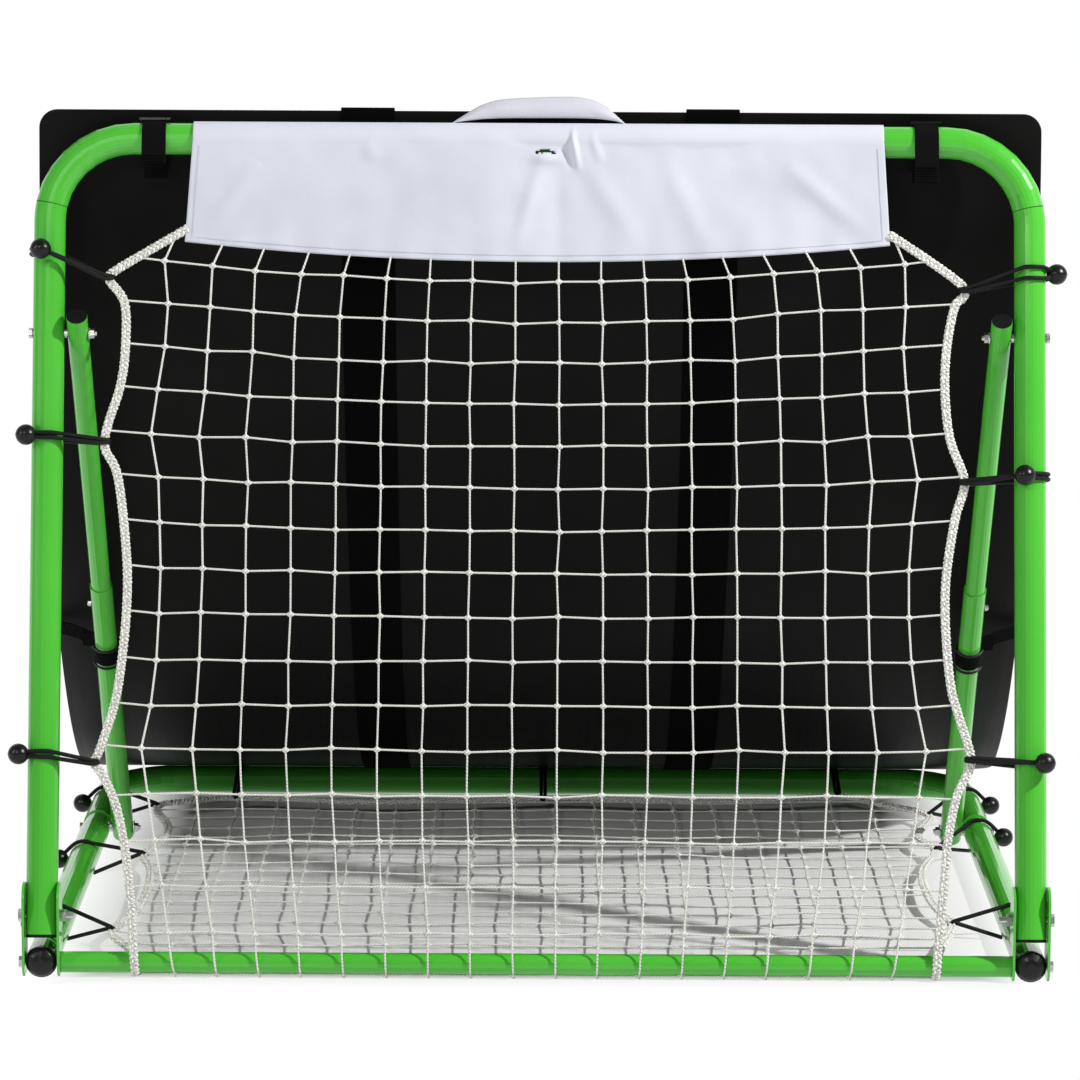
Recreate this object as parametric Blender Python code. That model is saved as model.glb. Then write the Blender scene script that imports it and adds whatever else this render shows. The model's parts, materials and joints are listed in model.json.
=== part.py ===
"""Folding tube-frame rebounder: a leaning net on a floor frame, held by two telescopic struts,
with a flexible black return panel hung behind it. Metres, +Z up, -Y is the side that is played at.
The origin is on the floor, at the middle of the object's footprint."""
import math

import bmesh
import bpy
from mathutils import Matrix, Vector

# ---- driving dimensions -------------------------------------------------------------------
FRAME_WIDTH = 1.181          # between the centre lines of the two legs
BASE_DEPTH = 1.048           # from the hinge line back to the rear bar's centre line
LEG_LENGTH = 0.935           # from the hinge line up to the top bar's centre line
LEAN = math.radians(13.0)    # how far the net leans back from upright
TUBE_R = 0.01905             # legs, side tubes, top bow and rear bow
TUBE_WALL = 0.0015
BEND_R = 0.100               # centre line radius of the four corners
SEAM_DROP = 0.080            # top bar centre down to the joint between bow and leg
SWAGE_INSERT = 0.050         # how far a swaged end goes into the next tube
SEAM_GAP = 0.0010            # open seam between the top bow's full tube and each leg
FIT = 0.0003                 # clearance between touching pieces
TUBE_SIDES = 24
HALF = FRAME_WIDTH / 2
PIVOT_HEIGHT = 2 * TUBE_R + 0.0349      # hinge line above the floor
PIVOT_Y = -(BASE_DEPTH + 0.020) / 2     # hinge line in front of the origin

CROSSBAR_R = 0.0127
CROSSBAR_HEIGHT = 0.016

PLATE_THICKNESS = 0.003
PLATE_DEPTH = 0.041
PLATE_TOP = PIVOT_HEIGHT + 0.0405
PLATE_BOTTOM = 0.0015
PLATE_CHAMFER = 0.008
PLATE_HOLE_HEIGHTS = (0.040, 0.054)
PLATE_HOLE_R = 0.003
PLATE_HOLE_BACK = 0.010

PIVOT_BOLT_R = 0.004
BOLT_R = 0.0031
HOLE_CLEARANCE = 0.0005

SIDE_TUBE_FRONT = 0.009      # how far the side tubes reach in front of the hinge line
SIDE_TUBE_BACK = BASE_DEPTH - 0.343     # their rear ends, behind the hinge line
NECK_VISIBLE = 0.045         # swaged neck that stays in sight behind the side tube

STRUT_UPPER_R = 0.0127
STRUT_WALL = 0.0013
STRUT_LOWER_R = STRUT_UPPER_R + FIT + STRUT_WALL
STRUT_INSET = TUBE_R + STRUT_LOWER_R + 0.00215   # leg centre line to strut centre line
STRUT_TOP_ON_LEG = LEG_LENGTH - 0.2364  # hinge line up the leg to the strut's top bolt
STRUT_FOOT_BACK = BASE_DEPTH - 0.318    # hinge line back to the strut's foot bolt
STRUT_TOP_END = 0.028        # tube end above the top bolt
STRUT_SLEEVE_START = 0.450   # top bolt down to the mouth of the lower tube
STRUT_OVERLAP = 0.140        # how far the upper tube sits inside the lower one
STRUT_FOOT_END = 0.012       # lower tube below its foot bolt
FOOT_SLOT_UP = 0.0048        # foot slot: how far it reaches up the strut from the bolt
FOOT_SLOT_DOWN = 0.0012
FOOT_SLOT_SIDE = 0.0012
LOCK_SCREW_DROP = 0.034      # mouth of the lower tube down to its lock screw

BALL_R = 0.0125
CORD_R = 0.0026
CORD_PAIR_R = 0.0050         # half width of two strands side by side
TIE_LIFT = 0.00095           # keeps a cord's flats and a ball clear of the tube's round
TIE_WRAP_R = TUBE_R + CORD_R + TIE_LIFT
FLOOR_BALL_ANGLE = 182       # how far the floor ties' balls are turned round their tubes from the net
BALL_STANDOFF = TUBE_R + BALL_R + TIE_LIFT
# Degrees turned round the tube before a cord from the ball lies on it.
BALL_CLEAR_ANGLE = math.degrees(math.acos(TIE_WRAP_R / BALL_STANDOFF)) + 4
TIE_GAP = 0.0070             # clear space between a tie's loop and the edge of the net solid
# Each leg tie: its height on the net, its ball's height, the net's edge there inside the leg's
# centre line, and how far the ball is turned round the leg from the net's side to the front.
LEG_TIES_LEFT = (
    (LEG_LENGTH - 0.167, LEG_LENGTH - 0.138, 0.0745, 104),
    (LEG_LENGTH - 0.362, LEG_LENGTH - 0.361, 0.0705, 137),
    (0.190, 0.192, 0.0665, 153),
)
LEG_TIES_RIGHT = (
    (LEG_LENGTH - 0.181, LEG_LENGTH - 0.159, 0.0795, 180),
    (LEG_LENGTH - 0.412, LEG_LENGTH - 0.404, 0.0795, 74),
    (0.191, 0.187, 0.0725, 117),
)
# Each side tie: its place on the ground net and its ball's place, behind the hinge line.
SIDE_TIES_LEFT = (
    (0.150, 0.185), (BASE_DEPTH - 0.488, BASE_DEPTH - 0.505), (BASE_DEPTH - 0.193, BASE_DEPTH - 0.163),
)
SIDE_TIES_RIGHT = (
    (0.205, 0.215), (BASE_DEPTH - 0.446, BASE_DEPTH - 0.348), (BASE_DEPTH - 0.231, BASE_DEPTH - 0.148),
)
SIDE_TIE_NET_X = HALF - 0.0715
REAR_TIES = (("left", 0.175 - HALF), ("middle", 0.0085), ("right", HALF - 0.175))

NET_THICKNESS = 0.002
NET_TOP = LEG_LENGTH - 0.1395
NET_BOTTOM = -0.033
NET_OFFSET = -0.003          # net solid's middle, in front of the leg plane
NET_TOP_HALF = HALF - 0.1285
NET_BOTTOM_HALF = HALF - 0.1075
NET_SCALLOP = 0.027
GROUND_NET_Z = 0.018
GROUND_NET_FRONT = CROSSBAR_R + 0.0018
GROUND_NET_BACK = BASE_DEPTH - 0.142
GROUND_NET_SCALLOP = 0.022

SLEEVE_WALL = 0.0016
SLEEVE_GAP = 0.0004
SLEEVE_HALF = HALF - 0.170
SLEEVE_HEM = LEG_LENGTH - 0.138
HANDLE_HALF = 0.105
HANDLE_RISE = 0.033
HANDLE_SLOT = 0.009
HANDLE_THICKNESS = 0.003

PANEL_THICKNESS = 0.003
PANEL_TOP_HALF = HALF + 0.0165
PANEL_BOTTOM_HALF = HALF + 0.0415
PANEL_TOP_CORNER = 0.022
PANEL_BOTTOM_CORNER = 0.075
PANEL_ABOVE_BAR = 0.033      # top edge above the top bar's centre line
PANEL_BEHIND_BAR = TUBE_R + 0.00845     # middle of the sheet behind the top bar's centre line
PANEL_ON_REAR_BAR = TUBE_R + 0.00895    # middle of the sheet above the rear bar's centre line
STRIP_WIDTH = 0.065
STRIP_THICKNESS = 0.0015
STRIP_X = 0.209

STRAP_WIDTH = 0.028
STRAP_THICKNESS = 0.0022
HANG_STRAP_X = HALF - 0.1255
RING_LENGTH = 0.037
RING_DEPTH = 0.012
RING_THICKNESS = 0.003
SIDE_STRAP_AT = 0.586        # strut's top bolt down to the side strap's middle

# ---- derived places -----------------------------------------------------------------------
BASE_Z = TUBE_R * math.cos(math.pi / TUBE_SIDES)   # the tubes' lowest facets lie on the floor
REAR_Y = PIVOT_Y + BASE_DEPTH
NECK_R = TUBE_R - TUBE_WALL - FIT
STRUT_X = HALF - STRUT_INSET
STRUT_UPPER_WALL_R = STRUT_UPPER_R - STRUT_WALL
PIVOT = Vector((0.0, PIVOT_Y, PIVOT_HEIGHT))
UP_LEG = Vector((0.0, math.sin(LEAN), math.cos(LEAN)))
BEHIND_LEG = Vector((0.0, math.cos(LEAN), -math.sin(LEAN)))
STRUT_TOP = PIVOT + UP_LEG * STRUT_TOP_ON_LEG
STRUT_FOOT = Vector((0.0, PIVOT_Y + STRUT_FOOT_BACK, BASE_Z))
STRUT_LENGTH = (STRUT_FOOT - STRUT_TOP).length
DOWN_STRUT = (STRUT_FOOT - STRUT_TOP).normalized()
BEHIND_STRUT = Vector((0.0, -DOWN_STRUT.z, DOWN_STRUT.y))
X_AXIS = Vector((1.0, 0.0, 0.0))
Y_AXIS = Vector((0.0, 1.0, 0.0))
Z_AXIS = Vector((0.0, 0.0, 1.0))

GREEN = (0.10, 0.52, 0.06)
BLACK = (0.012, 0.012, 0.013)
ZINC = (0.62, 0.62, 0.60)
WHITE = (0.80, 0.81, 0.82)


# ---- frames of reference ------------------------------------------------------------------
def leg_point(x, up, behind=0.0):
    """A point beside the legs: x across, up along the legs from the hinge line, and behind them."""
    return PIVOT + X_AXIS * x + UP_LEG * up + BEHIND_LEG * behind


def strut_point(x, down, behind=0.0):
    """A point beside the struts, measured down them from their top bolts."""
    return STRUT_TOP + X_AXIS * x + DOWN_STRUT * down + BEHIND_STRUT * behind


# ---- mesh helpers -------------------------------------------------------------------------
def clear_scene():
    for obj in list(bpy.data.objects):
        bpy.data.objects.remove(obj, do_unlink=True)


def make_material(name, colour, roughness, metallic=0.0):
    material = bpy.data.materials.new(name)
    material.use_nodes = True
    shader = material.node_tree.nodes["Principled BSDF"]
    shader.inputs["Base Color"].default_value = (*colour, 1.0)
    shader.inputs["Roughness"].default_value = roughness
    shader.inputs["Metallic"].default_value = metallic
    return material


def make_axis(name, place):
    """An empty on a joint's axis, which its moving pieces hang from."""
    empty = bpy.data.objects.new(name, None)
    empty.location = place
    empty.empty_display_size = 0.05
    bpy.context.scene.collection.objects.link(empty)
    return empty


def link_mesh(name, mesh, material, parent):
    """Put a mesh made in world coordinates under its axis empty."""
    mesh.materials.append(material)
    if parent is not None:
        mesh.transform(Matrix.Translation(-parent.location))
    obj = bpy.data.objects.new(name, mesh)
    obj.parent = parent
    bpy.context.scene.collection.objects.link(obj)
    return obj


def loft(name, rings, material, parent=None, around=False, smooth=True):
    """Join rings of equally many points. With around, the last ring joins the first;
    otherwise the two end rings are closed with flat caps."""
    model = bmesh.new()
    loops = [[model.verts.new(point) for point in ring] for ring in rings]
    pairs = list(zip(loops, loops[1:]))
    if around:
        pairs.append((loops[-1], loops[0]))
    else:
        model.faces.new(loops[0])
        model.faces.new(loops[-1])
    for low, high in pairs:
        for i in range(len(low)):
            j = (i + 1) % len(low)
            model.faces.new((low[i], low[j], high[j], high[i]))
    bmesh.ops.recalc_face_normals(model, faces=model.faces)
    mesh = bpy.data.meshes.new(name)
    model.to_mesh(mesh)
    model.free()
    if smooth:
        mesh.shade_smooth()
        mesh.set_sharp_from_angle(angle=math.radians(35))
    return link_mesh(name, mesh, material, parent)


def circle(centre, tangent, across, radius, sides=TUBE_SIDES):
    """A ring round a centre, at right angles to the tangent, with a flat side along across."""
    first = tangent.cross(across).normalized()
    second = first.cross(tangent).normalized()
    points = []
    for i in range(sides):
        angle = 2 * math.pi * (i + 0.5) / sides
        points.append(centre + (first * math.sin(angle) + second * math.cos(angle)) * radius)
    return points


def hexagon(centre, axis, across, radius):
    """Twelve points on a hexagon, so that it joins a ring of twelve sides."""
    first = axis.cross(across).normalized()
    second = first.cross(axis).normalized()
    corners = []
    for i in range(6):
        angle = math.pi * i / 3
        corners.append(centre + (first * math.sin(angle) + second * math.cos(angle)) * radius)
    points = []
    for i in range(6):
        points.append(corners[i])
        points.append((corners[i] + corners[(i + 1) % 6]) / 2)
    return points


def hollow_tube(name, stations, across, bore_r, material, parent=None, sides=TUBE_SIDES):
    """A tube through stations of (centre, tangent, outer radius), bored out and open at its ends."""
    outer = [circle(c, t, across, r, sides) for c, t, r in stations]
    inner = [circle(c, t, across, bore_r, sides) for c, t, _ in reversed(stations)]
    return loft(name, outer + inner, material, parent, around=True)


def turned(name, centre, axis, across, steps, material, parent=None, sides=12):
    """A solid turned on an axis; each step is (distance, radius) or (distance, radius, "hex")."""
    rings = []
    for step in steps:
        place = centre + axis * step[0]
        if len(step) == 3:
            rings.append(hexagon(place, axis, across, step[1]))
        else:
            rings.append(circle(place, axis, across, step[1], sides))
    return loft(name, rings, material, parent)


def cut_hole(target, centre, axis, across, radius, reach, sides=16):
    """Bore a straight hole through a piece."""
    steps = ((-reach, radius), (reach, radius))
    cutter = turned("hole_" + target.name, centre, axis, across, steps, target.data.materials[0], None, sides)
    add_cut(target, cutter)


def add_cut(target, cutter):
    cutter.hide_render = True
    cutter.display_type = "WIRE"
    cut = target.modifiers.new("hole", "BOOLEAN")
    cut.operation = "DIFFERENCE"
    cut.solver = "EXACT"
    cut.object = cutter


def ribbed(name, outer, inner, start, run, material, parent=None, smooth=True):
    """A solid between an outer and an inner outline, pushed along run: a sleeve, a loop or a ring."""
    rings = [outer, [p + run for p in outer], [p + run for p in inner], inner]
    rings = [[p + start for p in ring] for ring in rings]
    return loft(name, rings, material, parent, around=True, smooth=smooth)


# ---- tubes of the base and the net frame --------------------------------------------------
def arc_stations(centre, out, along, radius, start, end, steps, tube_r):
    """Stations on a bend: out points from the bend's centre to its start, along is its first tangent."""
    stations = []
    for i in range(steps + 1):
        angle = start + (end - start) * i / steps
        place = centre + (out * math.cos(angle) + along * math.sin(angle)) * radius
        tangent = along * math.cos(angle) - out * math.sin(angle)
        stations.append((place, tangent, tube_r))
    return stations


def bow_stations(half, reach, up, neck_start, seam, base_point):
    """One U-shaped bow from the left neck round both corners to the right neck.
    up is the direction of its arms, and seam is where each neck meets the full tube."""
    corner = reach - BEND_R
    turn = math.pi / 2
    seam_angle = 0.0
    left = [(base_point - X_AXIS * half + up * neck_start, up, NECK_R)]
    centre = base_point - X_AXIS * (half - BEND_R) + up * corner
    if seam > corner:
        seam_angle = math.asin((seam - corner) / BEND_R)
        left += arc_stations(centre, -X_AXIS, up, BEND_R, 0.0, seam_angle, 2, NECK_R)
        left.append((left[-1][0], left[-1][1], TUBE_R))
    else:
        place = base_point - X_AXIS * half + up * seam
        left += [(place, up, NECK_R), (place, up, TUBE_R), (place + up * (corner - seam), up, TUBE_R)]
    left += arc_stations(centre, -X_AXIS, up, BEND_R, seam_angle, turn, 7, TUBE_R)[1:]
    right = []
    for place, tangent, radius in reversed(left):
        mirrored = Vector((-place.x, place.y, place.z))
        right.append((mirrored, Vector((tangent.x, -tangent.y, -tangent.z)), radius))
    return left + right


def build_base(material, black, zinc):
    """Floor frame: side tubes, rear bow, front crossbar and their end caps."""
    front = PIVOT_Y - SIDE_TUBE_FRONT
    back = PIVOT_Y + SIDE_TUBE_BACK
    base_point = Vector((0.0, PIVOT_Y, BASE_Z))
    neck_start = SIDE_TUBE_BACK - SWAGE_INSERT
    seam = SIDE_TUBE_BACK + NECK_VISIBLE
    stations = bow_stations(HALF, BASE_DEPTH, Y_AXIS, neck_start, seam, base_point)
    bow = hollow_tube("base_rear_bow", stations, Z_AXIS, NECK_R - TUBE_WALL, material)
    crossbar_half = HALF - TUBE_R - FIT - PLATE_THICKNESS - FIT
    bar_centre = Vector((0.0, PIVOT_Y, CROSSBAR_HEIGHT))
    ends = [(bar_centre + X_AXIS * side * crossbar_half, X_AXIS, CROSSBAR_R) for side in (-1, 1)]
    hollow_tube("front_crossbar", ends, Z_AXIS, CROSSBAR_R - TUBE_WALL, material, sides=20)
    for tag, side in (("l", -1), ("r", 1)):
        x = side * HALF
        ends = [(Vector((x, y, BASE_Z)), Y_AXIS, TUBE_R) for y in (front, back)]
        tube = hollow_tube("base_side_tube_" + tag, ends, Z_AXIS, TUBE_R - TUBE_WALL, material)
        bolt_place = Vector((x, PIVOT_Y, CROSSBAR_HEIGHT))
        cut_hole(tube, bolt_place, X_AXIS, Z_AXIS, PIVOT_BOLT_R + HOLE_CLEARANCE, 0.03)
        foot_place = Vector((x, STRUT_FOOT.y, BASE_Z))
        cut_hole(bow, foot_place, X_AXIS, Z_AXIS, BOLT_R + HOLE_CLEARANCE, 0.03)
        build_end_cap("base_end_cap_" + tag, Vector((x, front - FIT, BASE_Z)), black)
        for place_tag, face in (("outer", side), ("inner", -side)):
            build_hinge_plate("hinge_plate_%s_%s" % (place_tag, tag), x, face, place_tag == "inner", material)
        outward = X_AXIS * side
        head = TUBE_R + FIT + PLATE_THICKNESS + FIT
        steps = bolt_steps(head, head, PIVOT_BOLT_R, 0.0070, 0.0070, 0.003)
        turned("crossbar_bolt_" + tag, bolt_place, outward, Z_AXIS, steps, zinc)


def build_end_cap(name, mouth, material):
    """Domed plug in the front end of a side tube."""
    dome_r = TUBE_R - 0.00095
    steps = [(-0.0035, NECK_R), (0.0, NECK_R), (0.0, TUBE_R), (0.003, TUBE_R), (0.0035, dome_r)]
    for i in range(1, 5):
        angle = math.pi / 2 * i / 5
        steps.append((0.0035 + 0.0115 * math.sin(angle), dome_r * math.cos(angle)))
    turned(name, mouth, -Y_AXIS, Z_AXIS, steps, material, None, TUBE_SIDES)


def build_hinge_plate(name, x, face, has_extra_holes, material):
    """Flat plate beside the leg, round at the top and chamfered at the bottom."""
    half = PLATE_DEPTH / 2
    outline = [(-half, PLATE_BOTTOM + PLATE_CHAMFER), (-half + PLATE_CHAMFER, PLATE_BOTTOM)]
    outline += [(half - PLATE_CHAMFER, PLATE_BOTTOM), (half, PLATE_BOTTOM + PLATE_CHAMFER)]
    for i in range(13):
        angle = math.pi * i / 12
        outline.append((half * math.cos(angle), PLATE_TOP - half + half * math.sin(angle)))
    near = x + face * (TUBE_R + FIT)
    rings = []
    for place in (near, near + face * PLATE_THICKNESS):
        rings.append([Vector((place, PIVOT_Y + y, z)) for y, z in outline])
    plate = loft(name, rings, material)
    for height in (PIVOT_HEIGHT, CROSSBAR_HEIGHT):
        centre = Vector((near, PIVOT_Y, height))
        cut_hole(plate, centre, X_AXIS, Z_AXIS, PIVOT_BOLT_R + HOLE_CLEARANCE, 0.008)
    if has_extra_holes:
        for height in PLATE_HOLE_HEIGHTS:
            centre = Vector((near, PIVOT_Y + PLATE_HOLE_BACK, height))
            cut_hole(plate, centre, X_AXIS, Z_AXIS, PLATE_HOLE_R, 0.008, 12)


def bolt_steps(head_at, nut_at, radius, head_r, nut_r, stub):
    """A hex bolt with its nut run up: positive distances are towards the head."""
    return [
        (-nut_at - 0.0062 - stub, radius), (-nut_at - 0.0062, radius), (-nut_at - 0.0062, nut_r, "hex"),
        (-nut_at, nut_r, "hex"), (-nut_at, radius), (head_at, radius),
        (head_at, head_r, "hex"), (head_at + 0.0052, head_r, "hex"),
    ]


def build_net_frame(material, black, zinc, axis):
    """The leaning frame: two legs, the top bow that plugs into them, plugs and hinge bolts."""
    seam = LEG_LENGTH - SEAM_DROP
    corner = LEG_LENGTH - BEND_R
    seam_angle = math.asin((seam - corner) / BEND_R)
    bottom = -0.0228
    stations = bow_stations(HALF, LEG_LENGTH, UP_LEG, corner - SWAGE_INSERT, seam, PIVOT)
    hollow_tube("top_bow", stations, BEHIND_LEG, NECK_R - TUBE_WALL, material, axis)
    for tag, side in (("l", -1), ("r", 1)):
        x = side * HALF
        outward = X_AXIS * side
        centre = leg_point(side * (HALF - BEND_R), corner)
        run = [(leg_point(x, bottom), UP_LEG, TUBE_R)]
        end_angle = seam_angle - SEAM_GAP / BEND_R
        run += arc_stations(centre, outward, UP_LEG, BEND_R, 0.0, end_angle, 2, TUBE_R)
        leg = hollow_tube("leg_tube_" + tag, run, BEHIND_LEG, TUBE_R - TUBE_WALL, material, axis)
        cut_hole(leg, leg_point(x, 0.0), X_AXIS, UP_LEG, PIVOT_BOLT_R + HOLE_CLEARANCE, 0.03)
        cut_hole(leg, leg_point(x, STRUT_TOP_ON_LEG), X_AXIS, UP_LEG, BOLT_R + HOLE_CLEARANCE, 0.03)
        plug = [(-0.0035, TUBE_R), (0.0, TUBE_R), (0.0, NECK_R), (0.014, NECK_R)]
        mouth = leg_point(x, bottom - FIT)
        turned("leg_plug_" + tag, mouth, UP_LEG, BEHIND_LEG, plug, black, axis, TUBE_SIDES)
        head = TUBE_R + 2 * FIT + PLATE_THICKNESS
        steps = bolt_steps(head, head, PIVOT_BOLT_R, 0.0078, 0.0072, 0.009)
        turned("pivot_bolt_" + tag, leg_point(x, 0.0), outward, UP_LEG, steps, zinc)


# ---- struts -------------------------------------------------------------------------------
def build_struts(material, black, zinc, axis, top_axes, slide_axes):
    """Telescopic struts: the upper tube hangs from the leg, the lower one slides on it."""
    lower_end = STRUT_LENGTH + STRUT_FOOT_END
    upper_end = STRUT_SLEEVE_START + STRUT_OVERLAP
    for tag, side in (("l", -1), ("r", 1)):
        x = side * STRUT_X
        outward = X_AXIS * side
        upper = tube_on_strut("strut_upper_" + tag, x, -STRUT_TOP_END, upper_end, STRUT_UPPER_R,
                              STRUT_UPPER_WALL_R, material, top_axes[tag])
        cut_hole(upper, strut_point(x, 0.0), X_AXIS, DOWN_STRUT, BOLT_R + HOLE_CLEARANCE, 0.02)
        lower = tube_on_strut("strut_lower_" + tag, x, STRUT_SLEEVE_START, lower_end, STRUT_LOWER_R,
                              STRUT_UPPER_R + FIT, material, slide_axes[tag])
        cut_foot_slot(lower, x)
        cap = [(0.0008, STRUT_UPPER_WALL_R - FIT), (0.016, STRUT_UPPER_WALL_R - FIT)]
        mouth = strut_point(x, -STRUT_TOP_END)
        turned("strut_cap_" + tag, mouth, DOWN_STRUT, BEHIND_STRUT, cap, black, top_axes[tag], 20)
        build_strut_top_bolt(tag, side, zinc, axis)
        build_strut_foot_bolt(tag, side, zinc)
        screw_at = strut_point(x, STRUT_SLEEVE_START + LOCK_SCREW_DROP)
        cut_hole(lower, screw_at + outward * STRUT_LOWER_R, X_AXIS, DOWN_STRUT, 0.0024, 0.004, 12)
        steps = [(STRUT_UPPER_R + FIT, 0.0020), (STRUT_LOWER_R + FIT, 0.0020)]
        steps += [(STRUT_LOWER_R + FIT, 0.0042), (STRUT_LOWER_R + 0.0035, 0.0040), (STRUT_LOWER_R + 0.005, 0.0024)]
        turned("strut_lock_screw_" + tag, screw_at, outward, DOWN_STRUT, steps, zinc, slide_axes[tag])


def tube_on_strut(name, x, start, end, radius, bore_r, material, parent):
    ends = [(strut_point(x, at), DOWN_STRUT, radius) for at in (start, end)]
    return hollow_tube(name, ends, BEHIND_STRUT, bore_r, material, parent, 20)


def cut_foot_slot(lower, x):
    """Slot that lets the lower tube ride along its foot bolt by a few millimetres."""
    half = BOLT_R + FOOT_SLOT_SIDE
    outline = []
    for i in range(9):
        angle = math.pi * i / 8
        outline.append((FOOT_SLOT_DOWN + half * math.sin(angle), half * math.cos(angle)))
    for i in range(9):
        angle = math.pi + math.pi * i / 8
        outline.append((-FOOT_SLOT_UP + half * math.sin(angle), half * math.cos(angle)))
    rings = []
    for across in (-0.02, 0.02):
        rings.append([strut_point(x + across, STRUT_LENGTH + d, b) for d, b in outline])
    add_cut(lower, loft("slot_" + lower.name, rings, lower.data.materials[0]))


def build_strut_top_bolt(tag, side, material, axis):
    """Bolt through leg and strut, with a spacer between them."""
    inner_face = STRUT_INSET + STRUT_UPPER_R + FIT
    spacer_start = TUBE_R + FIT
    spacer_end = STRUT_INSET - STRUT_UPPER_R - FIT
    steps = [
        (-inner_face - 0.0095, BOLT_R), (-inner_face - 0.0065, BOLT_R), (-inner_face - 0.0065, 0.0060, "hex"),
        (-inner_face - 0.0012, 0.0060, "hex"), (-inner_face - 0.0012, 0.0075), (-inner_face, 0.0075),
        (-inner_face, BOLT_R), (-spacer_end, BOLT_R), (-spacer_end, 0.0055), (-spacer_start, 0.0055),
        (-spacer_start, BOLT_R), (TUBE_R + FIT, BOLT_R), (TUBE_R + FIT, 0.0062, "hex"),
        (TUBE_R + 0.0047, 0.0062, "hex"),
    ]
    place = leg_point(side * HALF, STRUT_TOP_ON_LEG)
    turned("strut_top_bolt_" + tag, place, X_AXIS * side, UP_LEG, steps, material, axis)


def build_strut_foot_bolt(tag, side, material):
    """Bolt through the rear bow's neck and the strut's foot, with a spacer between them."""
    inner_face = STRUT_INSET + STRUT_LOWER_R + FIT
    spacer_start = NECK_R + FIT
    spacer_end = STRUT_INSET - STRUT_LOWER_R - FIT
    steps = [
        (-inner_face - 0.0090, BOLT_R), (-inner_face - 0.0062, BOLT_R), (-inner_face - 0.0062, 0.0060, "hex"),
        (-inner_face - 0.0012, 0.0060, "hex"), (-inner_face - 0.0012, 0.0090), (-inner_face, 0.0090),
        (-inner_face, BOLT_R), (-spacer_end, BOLT_R), (-spacer_end, 0.0060), (-spacer_start, 0.0060),
        (-spacer_start, BOLT_R), (NECK_R + FIT, BOLT_R), (NECK_R + FIT, 0.0062, "hex"),
        (NECK_R + 0.0047, 0.0062, "hex"),
    ]
    place = Vector((side * HALF, STRUT_FOOT.y, BASE_Z))
    turned("strut_foot_bolt_" + tag, place, X_AXIS * side, Z_AXIS, steps, material)


# ---- nets ---------------------------------------------------------------------------------
def scalloped(at, knots, depth):
    """Half width of a net at a place: knots are (place, half width) and the edge sags between them."""
    for (start, first), (end, last) in zip(knots, knots[1:]):
        if start <= at <= end:
            share = (at - start) / (end - start)
            return first + (last - first) * share - depth * 4 * share * (1 - share)
    return knots[-1][1]


def net_places(start, end, knots, steps=4):
    """Places along a net where its outline needs a point."""
    marks = sorted({start, end} | {k[0] for k in knots if start < k[0] < end})
    places = []
    for low, high in zip(marks, marks[1:]):
        places += [low + (high - low) * i / steps for i in range(steps)]
    return places + [end]


def build_nets(material, axis):
    """The leaning net and the ground net, as thin sheets with scalloped sides."""
    edges = {}
    for side, ties in ((-1, LEG_TIES_LEFT), (1, LEG_TIES_RIGHT)):
        knots = [(NET_BOTTOM, NET_BOTTOM_HALF)]
        knots += sorted((tie[0], HALF - tie[2]) for tie in ties)
        edges[side] = knots + [(NET_TOP, NET_TOP_HALF)]
    places = net_places(NET_BOTTOM, NET_TOP, edges[-1] + edges[1], 3)
    rings = []
    for at in places:
        halves = [scalloped(at, edges[side], NET_SCALLOP) for side in (-1, 1)]
        rings.append(slab_ring(leg_point, halves, at, NET_OFFSET))
    loft("rebound_net", rings, material, axis)

    start, end = GROUND_NET_FRONT, GROUND_NET_BACK
    for side, ties in ((-1, SIDE_TIES_LEFT), (1, SIDE_TIES_RIGHT)):
        knots = [(start, NET_BOTTOM_HALF)] + [(tie[0], SIDE_TIE_NET_X) for tie in ties]
        edges[side] = knots + [(end, SIDE_TIE_NET_X - 0.012)]
    rings = []
    for at in net_places(start, end, edges[-1] + edges[1], 3):
        halves = [scalloped(at, edges[side], GROUND_NET_SCALLOP) for side in (-1, 1)]
        rings.append(slab_ring(floor_point, halves, at, 0.0))
    loft("ground_net", rings, material)


def floor_point(x, back, above=0.0):
    return Vector((x, PIVOT_Y + back, GROUND_NET_Z + above))


def slab_ring(point, halves, at, offset):
    """Four corners of a net sheet across its width."""
    low = offset - NET_THICKNESS / 2
    high = offset + NET_THICKNESS / 2
    return [point(-halves[0], at, low), point(halves[1], at, low),
            point(halves[1], at, high), point(-halves[0], at, high)]


# ---- bungee ties with balls ---------------------------------------------------------------
def tie_ring(station, tangent, across):
    """Oval ring of a tie: two strands side by side count as one flat cord."""
    centre, thick, wide = station
    first = tangent.cross(across).normalized()
    second = first.cross(tangent).normalized()
    points = []
    for i in range(8):
        angle = 2 * math.pi * (i + 0.5) / 8
        points.append(centre + first * math.sin(angle) * thick + second * math.cos(angle) * wide)
    return points


def ball_station(ball, towards, share):
    radius = BALL_R * math.sqrt(1 - share * share)
    return (ball + towards * share * BALL_R, radius, radius)


def wrap_points(centre, net_way, front_way, start, stop):
    """Points round a tube from the ball's angle to the angle where the cord leaves for the net."""
    direction = 1 if stop > start else -1
    reach = abs(stop - start)
    if reach < BALL_CLEAR_ANGLE:
        return []
    count = math.ceil((reach - BALL_CLEAR_ANGLE) / 24)
    points = []
    for i in range(count + 1):
        away = BALL_CLEAR_ANGLE + (reach - BALL_CLEAR_ANGLE) * i / count
        turn = math.radians(start + direction * away)
        points.append(centre + (net_way * math.cos(turn) + front_way * math.sin(turn)) * TIE_WRAP_R)
    return points


def leave_angle(distance):
    """Where a cord that runs to a point at this distance from the tube's centre leaves the tube."""
    return math.degrees(math.acos(TIE_WRAP_R / distance))


def ball_place(centre, net_way, front_way, angle):
    turn = math.radians(angle)
    return centre + (net_way * math.cos(turn) + front_way * math.sin(turn)) * BALL_STANDOFF


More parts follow.
